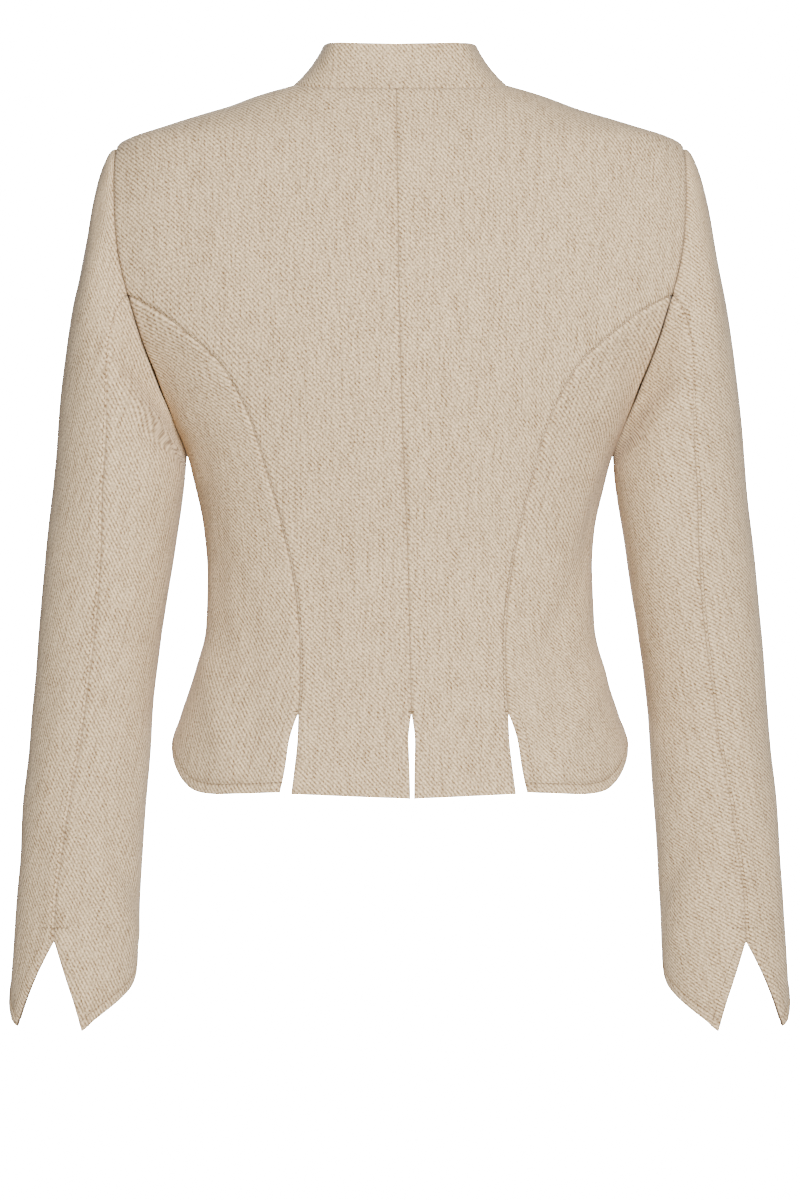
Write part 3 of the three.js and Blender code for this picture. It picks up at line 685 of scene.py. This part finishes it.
def front_grid(side):
    """Front panel over the elevation of the front; the right one lies outside at the lap, the left inside."""
    top = SHOULDER_SEAM
    right = join(trace(ARMHOLE_FRONT, FRONT_ARM_SHARES), trace(PRINCESS_FRONT, FRONT_SEAM_SHARES))
    neck = trace(NECK_FRONT, steps_for(250, start=True, power=1.35))
    edge = trace(FRONT_EDGE, np.linspace(0, 1, len(right) - len(neck) + 1))
    left = join(neck, edge)
    count = shares(top)[:, None]
    bottom = left[-1] + (right[-1] - left[-1]) * count
    x, z = np.moveaxis(fill(top, bottom, left, right), -1, 0)
    points = body_point(angle_before(x, z), z)
    lift = -side * LAP_LIFT * (1 - ease(x, *LAP_BLEND))
    return points + grid_normals(points, CENTRE) * lift[..., None]


def side_grid(side):
    """Side panel over ring angle and height, from the back princess seam round to the front one."""
    def laid(points, angle):
        return np.stack([SIDE_RADIUS * angle(points[:, 0], points[:, 1]), points[:, 1]], axis=1)

    top = join(
        laid(trace(ARMHOLE_LOW_BACK, LOW_BACK_SHARES), angle_behind),
        laid(trace(ARMHOLE_LOW_FRONT, LOW_FRONT_SHARES), angle_before),
    )
    left = laid(princess_back(side, SLIT_SIDE_EDGE), angle_behind)
    right = laid(trace(PRINCESS_FRONT, shares(left)), angle_before)
    hem = SIDE_HEM * [SIDE_RADIUS * np.pi / 180, 1]
    hem[0], hem[-1] = left[-1], right[-1]
    bottom = trace(hem, shares(top))
    length, z = np.moveaxis(fill(top, bottom, left, right), -1, 0)
    return body_point(length / SIDE_RADIUS, z)


def armhole_run(points, wanted, angle, first, last):
    """Armhole points on the body, with the sleeve angle that each of them runs down to."""
    flat = trace(points, wanted)
    lifted = body_point(angle(flat[:, 0], flat[:, 1]), flat[:, 1])
    return lifted, first + (last - first) * shares(lifted), np.full(len(flat), angle is angle_behind)


def cap_lines(start, degrees, behind):
    """Cap of the sleeve: cubic Bezier lines from the armhole to the biceps ring, one for each point round."""
    low = np.clip((-SHOULDER_DROP - start[:, 2]) / (-SHOULDER_DROP - UNDERARM), 0, 1)
    sway = np.where(behind, 0.25, -0.3) * np.sin(np.pi * low)
    leave = unit(np.stack([CAP_OUT * (1 - low) ** 0.7, sway, -0.34 - 0.66 * low], axis=1))
    end = sleeve_point(degrees, BICEPS)
    arrive = unit(sleeve_point(degrees, BICEPS + 1) - end)
    first = start + leave * (0.2 + 0.6 * low[:, None])
    first[:, 0] += 0.9 * ease(low, 0.5, 1)
    span = np.linalg.norm(end - first, axis=1, keepdims=True)
    handle = np.minimum(span * 0.4, CAP_LEAVE[0] + CAP_LEAVE[1] * (low * (1 - low))[:, None])
    t = steps_for(150, start=True, power=1.3)[:, None, None]
    second, third = first + leave * handle, end + arrive * span * CAP_ARRIVE
    return (1 - t) ** 3 * first + 3 * t * (1 - t) ** 2 * second + 3 * t * t * (1 - t) * third + t**3 * end


def sleeve_grid(part):
    """Upper or under sleeve: its cap lines, then the tube filled between its seams, notch edge and hem."""
    seam = float(sleeve["seam"](BICEPS))
    if part == "upper":
        back = armhole_run(ARMHOLE_BACK[::-1], 1 - ARM_SHARES[::-1], angle_behind, seam, 0)
        front = armhole_run(ARMHOLE_FRONT, FRONT_ARM_SHARES, angle_before, 0, FRONT_SEAM)
        notch, hem, far = NOTCH_OUTER, HEM_OUTER, FRONT_SEAM
    else:
        back = armhole_run(ARMHOLE_LOW_BACK, LOW_BACK_SHARES, angle_behind, seam, 180)
        front = armhole_run(ARMHOLE_LOW_FRONT, LOW_FRONT_SHARES, angle_before, 180, FRONT_SEAM + 360)
        notch, hem, far = NOTCH_INNER, HEM_INNER, FRONT_SEAM + 360
    start, degrees, behind = (join(a, b) for a, b in zip(back, front))
    cap = cap_lines(start, degrees, behind)
    heights = np.linspace(BICEPS, NOTCH_TOP, 92)
    left = join(np.stack([sleeve["seam"](heights), heights], axis=1), trace(notch, steps_for(75, end=True)))
    down = shares(left)
    right = np.stack([np.full(len(down), float(far)), BICEPS + (CUFF_FRONT - BICEPS) * down], axis=1)
    top = np.stack([degrees, np.full(len(degrees), float(BICEPS))], axis=1)
    bottom = trace(hem, np.abs(degrees - degrees[0]) / abs(degrees[-1] - degrees[0]))
    turn, z = np.moveaxis(fill(top, bottom, left, right), -1, 0)
    return np.concatenate([cap[:-1], sleeve_point(turn, z)])


def sleeve_centre(points):
    """Centre line of the sleeve at each point's height."""
    z = np.minimum(points[..., 2], -120)
    return np.stack([sleeve["x"](z), sleeve["y"](z), points[..., 2]], axis=-1)


def collar_grid():
    """Stand collar: ruled up from the neckline by a rise, a lean and a shift, hollowed half way up."""
    halves = []
    for side in (1, -1):
        behind = back_neck(side, np.linspace(0, 1, 40))
        before = trace(NECK_FRONT, np.linspace(0, 1, 90) ** 1.4)
        before = before[before[:, 0] > COLLAR_END]
        foot = join(
            body_point(angle_behind(behind[:, 0], behind[:, 1]), behind[:, 1]),
            body_point(angle_before(before[:, 0], before[:, 1]), before[:, 1]),
        )
        lift = -side * LAP_LIFT * (1 - ease(foot[:, 0], *LAP_BLEND)) * (foot[:, 1] < -20)
        foot = foot + [0, -1, 0] * lift[:, None]
        along = shares(foot)
        column = {name: through(COLLAR["share"], COLLAR[name])(along) for name in ("rise", "inward", "back")}
        reach = np.stack([-column["inward"], column["back"], column["rise"]], axis=1)
        turned = np.array([side, 1, 1])
        halves.append((foot * turned, reach * turned))
    foot = np.concatenate([halves[0][0][::-1], halves[1][0][1:]])
    reach = np.concatenate([halves[0][1][::-1], halves[1][1][1:]])
    t = steps_for(33, start=True, end=True)[::-1][:, None, None]
    start = -0.5 / np.linalg.norm(reach, axis=1)[:, None]
    points = foot + reach * (start + (1 - start) * t)
    outer = grid_normals(points, np.array([0.0, 0.0, 0.0]))
    return points - outer * COLLAR_BEND * 4 * t * (1 - t)


# ---- Materials ----
RIB_PITCH = 0.0031
RIB_SLOPE = 0.9
# Colour of the painted shade in the seam grooves and along the hem stitching.
PAINTED_SHADE_COLOUR = "#544330"


def linear(code):
    """Linear colour of an sRGB hex code."""
    value = np.array([int(code[i : i + 2], 16) for i in (1, 3, 5)]) / 255
    value = np.where(value <= 0.04045, value / 12.92, ((value + 0.055) / 1.055) ** 2.4)
    return (*value.tolist(), 1.0)


def new_material(name, inputs):
    """A material with one principled shader, whose inputs are given."""
    material = bpy.data.materials.new(name)
    material.use_nodes = True
    tree = material.node_tree
    tree.nodes.clear()
    shader = node(tree, "ShaderNodeBsdfPrincipled", inputs)
    node(tree, "ShaderNodeOutputMaterial", {"Surface": shader.outputs[0]})
    return material, tree, shader


def node(tree, kind, inputs=None, **settings):
    """One shader node, its settings, and its inputs given as sockets to link or as values."""
    made = tree.nodes.new(kind)
    for name, value in settings.items():
        setattr(made, name, value)
    for name, value in (inputs or {}).items():
        if isinstance(value, bpy.types.NodeSocket):
            tree.links.new(value, made.inputs[name])
        else:
            made.inputs[name].default_value = value
    return made


def sums(tree, operation, *values):
    """Output of one maths node on sockets or numbers."""
    return node(tree, "ShaderNodeMath", dict(enumerate(values)), operation=operation).outputs[0]


def mixed(tree, share, first, second):
    """Colour between two colours."""
    made = node(tree, "ShaderNodeMix", {"Factor": share}, data_type="RGBA")
    for name, value in (("A", first), ("B", second)):
        socket = next(s for s in made.inputs if s.name == name and s.type == "RGBA")
        if isinstance(value, bpy.types.NodeSocket):
            tree.links.new(value, socket)
        else:
            socket.default_value = value
    return next(s for s in made.outputs if s.type == "RGBA")


def noise(tree, vector, size, detail=2.0, **extra):
    """Noise whose features have the given real sizes, in metres along the axes of the vector."""
    scale = {0: vector, 1: tuple(1 / s for s in size)}
    spread = node(tree, "ShaderNodeVectorMath", scale, operation="MULTIPLY").outputs[0]
    inputs = {"Vector": spread, "Scale": 1.0, "Detail": detail, **extra}
    return node(tree, "ShaderNodeTexNoise", inputs).outputs[0]


def ramp(tree, value, low, high):
    """Value mapped from low..high to 0..1 with a smooth step."""
    inputs = {"Value": value, "From Min": low, "From Max": high}
    return node(tree, "ShaderNodeMapRange", inputs, interpolation_type="SMOOTHSTEP").outputs[0]


def melange_twill(name, pale, dark):
    """Twill of mixed pale and brown fibre: slanted ribs, upright slubs of darker yarn, and a fibre grain."""
    soft = {"Roughness": 0.92, "Specular IOR Level": 0.18, "Sheen Weight": 0.1, "Sheen Roughness": 0.6}
    material, tree, shader = new_material(name, soft)
    cloth = node(tree, "ShaderNodeUVMap", uv_map="cloth").outputs[0]
    axes = node(tree, "ShaderNodeSeparateXYZ", {0: cloth})
    # Twill ribs: the real ones are about 0.9 mm apart and are drawn 2.3 mm apart, 3.1 mm along a level
    # line, so that they still show.
    slant = sums(tree, "MULTIPLY_ADD", axes.outputs[1], RIB_SLOPE, axes.outputs[0])
    wander = noise(tree, cloth, (0.012, 0.015, 1))
    phase = sums(tree, "MULTIPLY_ADD", slant, 2 * np.pi / RIB_PITCH, sums(tree, "MULTIPLY", wander, 3.0))
    rib = sums(tree, "MULTIPLY_ADD", sums(tree, "SINE", phase), 0.5, 0.5)
    # Slubs: darker lengths of yarn, 1.3 mm wide and 15 mm long, upright along the warp, and longer fainter ones.
    slub = noise(tree, cloth, (0.0013, 0.015, 1))
    long = noise(tree, cloth, (0.003, 0.06, 1))
    # Weft flecks, 4 mm long and 1 mm high.
    fleck = noise(tree, cloth, (0.004, 0.001, 1))
    # Fibre grain of about 1.5 mm and soft clouds of 20 mm in the dye.
    grain = noise(tree, cloth, (0.0015, 0.0017, 1), 3.0)
    cloud = noise(tree, cloth, (0.02, 0.03, 1), 1.0)
    tone = sums(tree, "MULTIPLY", ramp(tree, slub, 0.4, 0.66), 0.18)
    tone = sums(tree, "MULTIPLY_ADD", ramp(tree, long, 0.42, 0.7), 0.1, tone)
    tone = sums(tree, "MULTIPLY_ADD", ramp(tree, fleck, 0.42, 0.66), 0.08, tone)
    tone = sums(tree, "MULTIPLY_ADD", ramp(tree, grain, 0.42, 0.58), 0.34, tone)
    tone = sums(tree, "MULTIPLY_ADD", rib, 0.5, tone)
    tone = sums(tree, "MULTIPLY_ADD", cloud, 0.1, sums(tree, "SUBTRACT", tone, 0.12))
    tone = sums(tree, "MAXIMUM", tone, 0.0)
    tone = sums(tree, "MINIMUM", tone, 1.0)
    woven = mixed(tree, tone, linear(pale), linear(dark))
    # Painted shade: the cloth colour darkens towards the painted shade colour where a sewn edge sinks into its
    # groove, and faintly along the hem stitching lines.
    near = node(tree, "ShaderNodeAttribute", attribute_name="painted_seam_shade").outputs["Fac"]
    tree.links.new(mixed(tree, near, woven, linear(PAINTED_SHADE_COLOUR)), shader.inputs["Base Color"])
    height = sums(tree, "MULTIPLY_ADD", rib, -0.5, sums(tree, "MULTIPLY", grain, 0.8))
    height = sums(tree, "MULTIPLY_ADD", slub, 0.6, height)
    bump = node(tree, "ShaderNodeBump", {"Height": height, "Strength": 0.35, "Distance": 0.0003})
    tree.links.new(bump.outputs[0], shader.inputs["Normal"])
    return material


def thread(name, code):
    """Matt spun sewing thread, a little uneven in tone along its length."""
    material, tree, shader = new_material(name, {"Roughness": 0.7, "Specular IOR Level": 0.3})
    where = node(tree, "ShaderNodeTexCoord").outputs["Object"]
    # Twist of the thread, about 1 mm long.
    tone = noise(tree, where, (0.001, 0.001, 0.001), 1.0)
    base = np.array(linear(code))
    spun = mixed(tree, tone, tuple(base * [0.82, 0.8, 0.78, 1]), tuple(base))
    tree.links.new(spun, shader.inputs["Base Color"])
    return material


def horn(name, pale, dark):
    """Polished moulded polyester in imitation horn, with cloudy streaks across it."""
    gloss = {"Roughness": 0.28, "Coat Weight": 0.25, "Coat Roughness": 0.12}
    material, tree, shader = new_material(name, gloss)
    where = node(tree, "ShaderNodeTexCoord").outputs["Object"]
    # Streaks 9 mm long and 2.5 mm high.
    tone = noise(tree, where, (0.009, 0.009, 0.0025), 4.0, Distortion=0.6)
    streaked = mixed(tree, ramp(tree, tone, 0.3, 0.7), linear(pale), linear(dark))
    tree.links.new(streaked, shader.inputs["Base Color"])
    return material


def painted_floor(name, code):
    """Flat pale studio floor, matt, with a faint mottle 0.2 m across."""
    material, tree, shader = new_material(name, {"Roughness": 0.9})
    where = node(tree, "ShaderNodeTexCoord").outputs["Object"]
    tone = noise(tree, where, (0.2, 0.2, 0.2))
    base = np.array(linear(code))
    mottled = mixed(tree, tone, tuple(base * [0.97, 0.97, 0.97, 1]), tuple(base))
    tree.links.new(mottled, shader.inputs["Base Color"])
    return material


def shared(key, maker, *args):
    """A material made once and used again by name."""
    return bpy.data.materials.get(key) or maker(key, *args)


def cloth_material():
    look = bpy.context.scene.blazer
    return shared("Melange viscose twill, woven", melange_twill, look.pale_yarn, look.dark_yarn)


def thread_material():
    return shared("Spun polyester thread", thread, bpy.context.scene.blazer.thread)


# ---- Pieces ----
# Edges of each kind of piece, as they lie in its grid: free, sewn to a neighbour, and turned up in a hem.
FREE = {
    "back": ("bottom",),
    "side": ("bottom",),
    "front": ("left", "bottom"),
    "sleeve": ("bottom",),
    "collar": ("top", "left", "right"),
}
SEWN = {
    "back": ("left", "right", "top"),
    "side": ("left", "right", "top"),
    "front": ("right", "top"),
    "sleeve": ("left", "right", "top"),
    "collar": ("bottom",),
}
TURNED = {"back": (), "side": ("bottom",), "front": ("left", "bottom"), "sleeve": ("bottom",)}
# The way the grain runs up over each panel: tilted to the far side where the panel ends on the shoulder.
UPRIGHT = {"back": (0, -0.6, 1), "side": (0, 0, 1), "front": (0, 0.6, 1)}


def mirrored(points, side):
    return points * [side, 1, 1]


def body_piece(kind, side):
    """Middle surface, normals and cloth coordinates of one body panel on one side, laid with its folds."""
    grids = {"back": back_grid, "side": side_grid, "front": front_grid}
    points = mirrored(grids[kind](side), side)
    folds = {**BODY_FOLDS, "depth": BODY_FOLDS["depth"] * BODY_FOLD_GAIN}
    seed = {"back": 0.7, "side": 2.9, "front": 5.3}[kind] + 1.7 * side
    column = points.shape[1] // 2 if kind == "side" else 0
    cloth = unrolled(points, grid_normals(points, CENTRE), UPRIGHT[kind], column)
    return (*finished(points, CENTRE, folds, 0.0, SEWN[kind], TURNED[kind], seed), cloth)


def sleeve_piece(part, side):
    """Middle surface, normals and cloth coordinates of one half of a sleeve, laid with its folds."""
    folds = {name: column.copy() for name, column in SLEEVE_FOLDS.items()}
    if side < 0:
        folds["z"] += 7 * np.sin(folds["x"] * 1.7)
        folds["angle"] += 5 * np.cos(folds["z"] * 2.3)
        folds["depth"] *= 1 + 0.18 * np.sin(folds["z"] * 0.9)
    folds["depth"] *= SLEEVE_FOLD_GAIN
    points = sleeve_grid(part)
    centre = sleeve_centre(points)
    seed = {"upper": 1.1, "under": 3.7}[part] - side
    middle = centre[..., 1]
    laid, normals = finished(points, centre, folds, middle, SEWN["sleeve"], TURNED["sleeve"], seed)
    plain = mirrored(grid_normals(points, centre), side)
    cloth = unrolled(mirrored(points, side), plain, (-0.3 * side, 0.1, 1), 0)
    return mirrored(laid, side), mirrored(normals, side), cloth


def build_body(kind):
    look = cloth_material()
    for name, side in SIDES.items():
        node_name = f"{kind}_{name}"
        cloth_piece(node_name + "_cloth", node_name, *body_piece(kind, side), kind, look)


def build_sleeves():
    look = cloth_material()
    for part in ("upper", "under"):
        for name, side in SIDES.items():
            node_name = f"{part}_sleeve_{name}"
            cloth_piece(node_name + "_cloth", node_name, *sleeve_piece(part, side), "sleeve", look)


def build_collar():
    points = collar_grid()
    normals = grid_normals(points, np.array([0.0, 0.0, 20.0]))
    cloth = unrolled(points, normals, (0, 0, 1), points.shape[1] // 2)
    away = edge_distance(points)["bottom"]
    points = points - normals * (0.8 * np.exp(-((away / SEAM_ROLL) ** 2)))[..., None]
    normals = grid_normals(points, np.array([0.0, 0.0, 20.0]))
    cloth_piece("collar_cloth", "collar", points, normals, cloth, "collar", cloth_material())


def button_surface(radius, thickness):
    """Turned button: a polar grid with a rolled rim and a dished face, sunk at four sewing holes."""
    share = np.concatenate([np.linspace(0, 0.55, 26), np.linspace(0.58, 1, 22)])
    turn = np.linspace(0, 2 * np.pi, 97)[:-1]
    r = radius * share
    x, z = r[:, None] * np.cos(turn), r[:, None] * np.sin(turn)
    dish = thickness * (0.62 + 0.38 * ease(share, 0.55, 0.82) - 0.5 * ease(share, 0.9, 1) ** 2)
    face = np.repeat(dish[:, None], len(turn), axis=1)
    at = radius * 0.17
    for cx in (-at, at):
        for cz in (-at, at):
            away = np.hypot(x - cx, z - cz)
            face = face - thickness * 0.55 * (1 - ease(away, radius * 0.06, radius * 0.12))
    return np.stack([x, face, z], axis=-1), np.stack([x, 0 * face, z], axis=-1)


def build_buttons():
    """Three buttons on the centre front."""
    look = bpy.context.scene.blazer
    material = shared("Polished imitation horn, moulded", horn, look.horn_pale, look.horn_dark)
    for name, z in BUTTONS.items():
        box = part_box(name)
        low, high = np.array(box[0]) / MM, np.array(box[1]) / MM
        centre = (low + high) / 2
        radius = (high[2] - low[2]) / 2
        thickness = high[1] - low[1]
        face, back = button_surface(radius, thickness)
        rows, cols = face.shape[:2]
        co = np.concatenate([face.reshape(-1, 3), back.reshape(-1, 3)]) * [1, -1, 1]
        co = co + [centre[0], high[1], centre[2]]
        index = np.arange(rows * cols).reshape(rows, cols)
        size = rows * cols
        quads, last, ahead = round_quads(index), index[-1], np.roll(index[-1], -1)
        rim = np.stack([last, last + size, ahead + size, ahead], axis=-1)
        faces = np.concatenate([quads, quads[:, ::-1] + size, rim])
        obj = mesh_object(name + "_horn", co, outward(co, faces))
        obj.data.materials.append(material)
        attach(obj, "root")
        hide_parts(name)


def part_of(path, normals, low, high):
    """The rows of a path whose heights lie between two."""
    kept = (path[:, 2] > low) & (path[:, 2] < high)
    return path[kept], normals[kept]


def tack(x, z, angle):
    """Short bar of stitches straight across the top of a slit."""
    xs = np.linspace(x - TACK_HALF, x + TACK_HALF, 9)
    path = body_point(angle(xs, np.full(9, float(z))), np.full(9, float(z)))
    return stitch_run(path, np.tile([0.0, 1.0, 0.0], (9, 1)), pitch=0.9, long=1.2, wide=0.9)


def cuff_bar(side):
    """Bar of stitches across the sleeve seam, just above the notch."""
    z = NOTCH_TOP + BAR_ABOVE
    degrees = np.linspace(-BAR_TURN, BAR_TURN, 15) + sleeve["seam"](z)
    path = sleeve_point(degrees, np.full(15, z))
    middle = np.array([float(sleeve["x"](z)), float(sleeve["y"](z)), z])
    path = middle + (path - middle) * 1.02
    return stitch_run(mirrored(path, side), mirrored(unit(path - middle), side))


def buttonhole(points, normals, z):
    """Corded lips of a buttonhole in the right front, worked all round a level cut."""
    turn = np.linspace(0, 2 * np.pi, 60)
    x = (HOLE_OUTER + HOLE_INNER) / 2 + (HOLE_OUTER - HOLE_INNER) / 2 * powered(np.cos(turn), 0.3)
    high = z + HOLE_HALF * powered(np.sin(turn), 0.6)
    across, up = points[..., 0] - x[:, None, None], points[..., 2] - high[:, None, None]
    away = across**2 + up**2
    nearest = away.reshape(len(turn), -1).argmin(axis=1)
    y = points[..., 1].ravel()[nearest]
    up = normals.reshape(-1, 3)[nearest]
    return stitch_run(np.stack([x, y, high], axis=1), up, pitch=0.8, long=1.0, wide=0.8)


def build_stitching():
    """Edge stitching beside the shaped seams, hem stitching round hems and slits, bars and buttonholes."""
    look = thread_material()
    for name, side in SIDES.items():
        points, normals, _ = body_piece("back", side)
        path, up = inset_path(points, normals, "right", SEAM_STITCH)
        runs = [stitch_run(*part_of(path, up, SLIT_TOP, 0))]
        runs.append(tack(side * SLIT_X, SLIT_TOP + 1, angle_behind))
        if side > 0:
            runs.append(tack(float(centre_back(SLIT_TOP)), SLIT_TOP + 1, angle_behind))
        stitched(f"back_stitching_{name}", runs, look)
        points, normals, _ = body_piece("side", side)
        runs = [stitch_run(*inset_path(points, normals, "bottom", HEM_STITCH))]
        path, up = inset_path(points, normals, "left", HEM_STITCH)
        runs.append(stitch_run(*part_of(path, up, BACK_HEM + HEM_STITCH, SLIT_TOP)))
        stitched(f"side_stitching_{name}", runs, look)
        points, normals, _ = body_piece("front", side)
        runs = [stitch_run(*inset_path(points, normals, "left", HEM_STITCH))]
        path, up = inset_path(points, normals, "right", SEAM_STITCH)
        runs.append(stitch_run(path, up))
        runs.append(stitch_run(*inset_path(points, normals, "bottom", HEM_STITCH)))
        if side < 0:
            runs += [buttonhole(points, normals, z) for z in BUTTONS.values()]
        stitched(f"front_stitching_{name}", runs, look)
        for part in ("upper", "under"):
            points, normals, _ = sleeve_piece(part, side)
            runs = [stitch_run(*inset_path(points, normals, "bottom", HEM_STITCH))]
            path, up = inset_path(points, normals, "left", HEM_STITCH)
            runs.append(stitch_run(*part_of(path, up, -700, NOTCH_TOP - 4)))
            if part == "upper":
                path, up = inset_path(points, normals, "left", SEAM_STITCH)
                runs.append(stitch_run(*part_of(path, up, NOTCH_TOP, 0)))
                runs.append(cuff_bar(side))
            stitched(f"{part}_sleeve_stitching_{name}", runs, look)


SENSOR = 36
CAMERA_AWAY = 4.0
CAMERA_HIGH = -0.3676
FRAMED_HIGH = 0.8616
BACKDROP = 40.0
FLOOR_LOW = -1250.0
LIGHTS = (
    ("back_light", (-0.5, 3.4, 0.9), (0, 0, -0.35), 0.8, 275),
    ("top_light", (0.4, 1.4, 2.2), (0, 0, -0.3), 0.9, 8),
    ("front_light", (0.5, -3.4, 0.5), (0, 0, -0.3), 1.2, 225),
)


def studio():
    """Camera square to the back, three area lights, a pale world, and a pale floor below."""
    scene = bpy.context.scene
    camera_data = bpy.data.cameras.new("camera")
    camera_data.sensor_fit = "VERTICAL"
    camera_data.sensor_height = SENSOR
    camera_data.lens = SENSOR * CAMERA_AWAY / FRAMED_HIGH
    camera_data.dof.use_dof = False
    camera = bpy.data.objects.new("camera", camera_data)
    camera.location = (0, CAMERA_AWAY, CAMERA_HIGH)
    camera.rotation_euler = (np.pi / 2, 0, np.pi)
    scene.collection.objects.link(camera)
    scene.camera = camera
    world = bpy.data.worlds.new("Pale studio")
    world.use_nodes = True
    tree = world.node_tree
    tree.nodes.clear()
    seen = node(tree, "ShaderNodeLightPath").outputs["Is Camera Ray"]
    strength = sums(tree, "MULTIPLY_ADD", seen, BACKDROP, scene.blazer.fill_light)
    back = node(tree, "ShaderNodeBackground", {"Color": (1, 1, 1, 1), "Strength": strength})
    node(tree, "ShaderNodeOutputWorld", {"Surface": back.outputs[0]})
    scene.world = world
    for name, place, target, size, power in LIGHTS:
        data = bpy.data.lights.new(name, "AREA")
        data.size = size
        data.energy = power * scene.blazer.key_light
        light = bpy.data.objects.new(name, data)
        light.location = place
        toward = Vector(target) - Vector(place)
        light.rotation_euler = toward.to_track_quat("-Z", "Y").to_euler()
        scene.collection.objects.link(light)
    turn = np.linspace(0, 2 * np.pi, 65)[:-1]
    rings = np.array([0.0, 1.0, 2.6]) / MM
    x, y = rings[:, None] * np.cos(turn), rings[:, None] * np.sin(turn)
    co = np.stack([x, y, np.full((3, 64), FLOOR_LOW)], axis=-1)
    floor = mesh_object("floor", co.reshape(-1, 3), round_quads(np.arange(3 * 64).reshape(3, 64)))
    floor.data.materials.append(shared("Matt painted floor", painted_floor, "#f2f1ef"))


# ---- Panel and operators ----
class BlazerSettings(bpy.types.PropertyGroup):
    pale_yarn: bpy.props.StringProperty(
        name="Pale yarn", description="sRGB hex colour of the pale fibre", default="#e8cda4"
    )
    dark_yarn: bpy.props.StringProperty(
        name="Brown yarn", description="sRGB hex colour of the brown fibre", default="#6f5537"
    )
    thread: bpy.props.StringProperty(
        name="Thread", description="sRGB hex colour of the sewing thread", default="#7b6345"
    )
    horn_pale: bpy.props.StringProperty(
        name="Pale horn", description="sRGB hex colour of the buttons' pale streaks", default="#a58b6c"
    )
    horn_dark: bpy.props.StringProperty(
        name="Dark horn", description="sRGB hex colour of the buttons' dark streaks", default="#5d4733"
    )
    key_light: bpy.props.FloatProperty(
        name="Key light", description="Strength of the studio lights", default=1.0, min=0.0, subtype="FACTOR"
    )
    fill_light: bpy.props.FloatProperty(
        name="Fill light", description="Strength of the pale surroundings", default=0.08, min=0.0, subtype="FACTOR"
    )


class BlazerPiece:
    """What the operators share: each calls one maker, and an error in it stops the script."""

    bl_options = {"REGISTER", "UNDO"}

    def execute(self, context):
        self.make()
        return {"FINISHED"}


class BLAZER_OT_back(BlazerPiece, bpy.types.Operator):
    """Make the two centre-back panels"""

    bl_idname = "blazer.back_panels"
    bl_label = "Back panels"

    def make(self):
        build_body("back")


class BLAZER_OT_sides(BlazerPiece, bpy.types.Operator):
    """Make the two side panels"""

    bl_idname = "blazer.side_panels"
    bl_label = "Side panels"

    def make(self):
        build_body("side")


class BLAZER_OT_fronts(BlazerPiece, bpy.types.Operator):
    """Make the two front panels, the right one over the left"""

    bl_idname = "blazer.front_panels"
    bl_label = "Front panels"

    def make(self):
        build_body("front")


class BLAZER_OT_sleeves(BlazerPiece, bpy.types.Operator):
    """Make the upper and under halves of both sleeves"""

    bl_idname = "blazer.sleeves"
    bl_label = "Sleeves"

    def make(self):
        build_sleeves()


class BLAZER_OT_collar(BlazerPiece, bpy.types.Operator):
    """Make the stand collar"""

    bl_idname = "blazer.collar"
    bl_label = "Collar"

    def make(self):
        build_collar()


class BLAZER_OT_buttons(BlazerPiece, bpy.types.Operator):
    """Make the three buttons"""

    bl_idname = "blazer.buttons"
    bl_label = "Buttons"

    def make(self):
        build_buttons()


class BLAZER_OT_stitching(BlazerPiece, bpy.types.Operator):
    """Make the edge and hem stitching"""

    bl_idname = "blazer.stitching"
    bl_label = "Stitching"

    def make(self):
        build_stitching()


class BLAZER_OT_studio(BlazerPiece, bpy.types.Operator):
    """Make the camera, the lights, the surroundings and the floor"""

    bl_idname = "blazer.studio"
    bl_label = "Studio"

    def make(self):
        studio()


OPERATORS = (
    BLAZER_OT_back,
    BLAZER_OT_sides,
    BLAZER_OT_fronts,
    BLAZER_OT_sleeves,
    BLAZER_OT_collar,
    BLAZER_OT_buttons,
    BLAZER_OT_stitching,
    BLAZER_OT_studio,
)


class BLAZER_PT_panel(bpy.types.Panel):
    """Settings and makers of the blazer"""

    bl_label = "Blazer"
    bl_idname = "BLAZER_PT_panel"
    bl_space_type = "VIEW_3D"
    bl_region_type = "UI"
    bl_category = "Blazer"

    def draw(self, context):
        for name in BlazerSettings.__annotations__:
            self.layout.prop(context.scene.blazer, name)
        for operator in OPERATORS:
            self.layout.operator(operator.bl_idname)


def register():
    for cls in (BlazerSettings, *OPERATORS, BLAZER_PT_panel):
        bpy.utils.register_class(cls)
    bpy.types.Scene.blazer = bpy.props.PointerProperty(type=BlazerSettings)


def unregister():
    del bpy.types.Scene.blazer
    for cls in (BLAZER_PT_panel, *reversed(OPERATORS), BlazerSettings):
        bpy.utils.unregister_class(cls)


def main():
    register()
    bpy.ops.blazer.back_panels()
    bpy.ops.blazer.side_panels()
    bpy.ops.blazer.front_panels()
    bpy.ops.blazer.sleeves()
    bpy.ops.blazer.collar()
    bpy.ops.blazer.buttons()
    bpy.ops.blazer.stitching()
    bpy.ops.blazer.studio()
    bpy.context.view_layer.update()


if __name__ == "__main__":
    main()
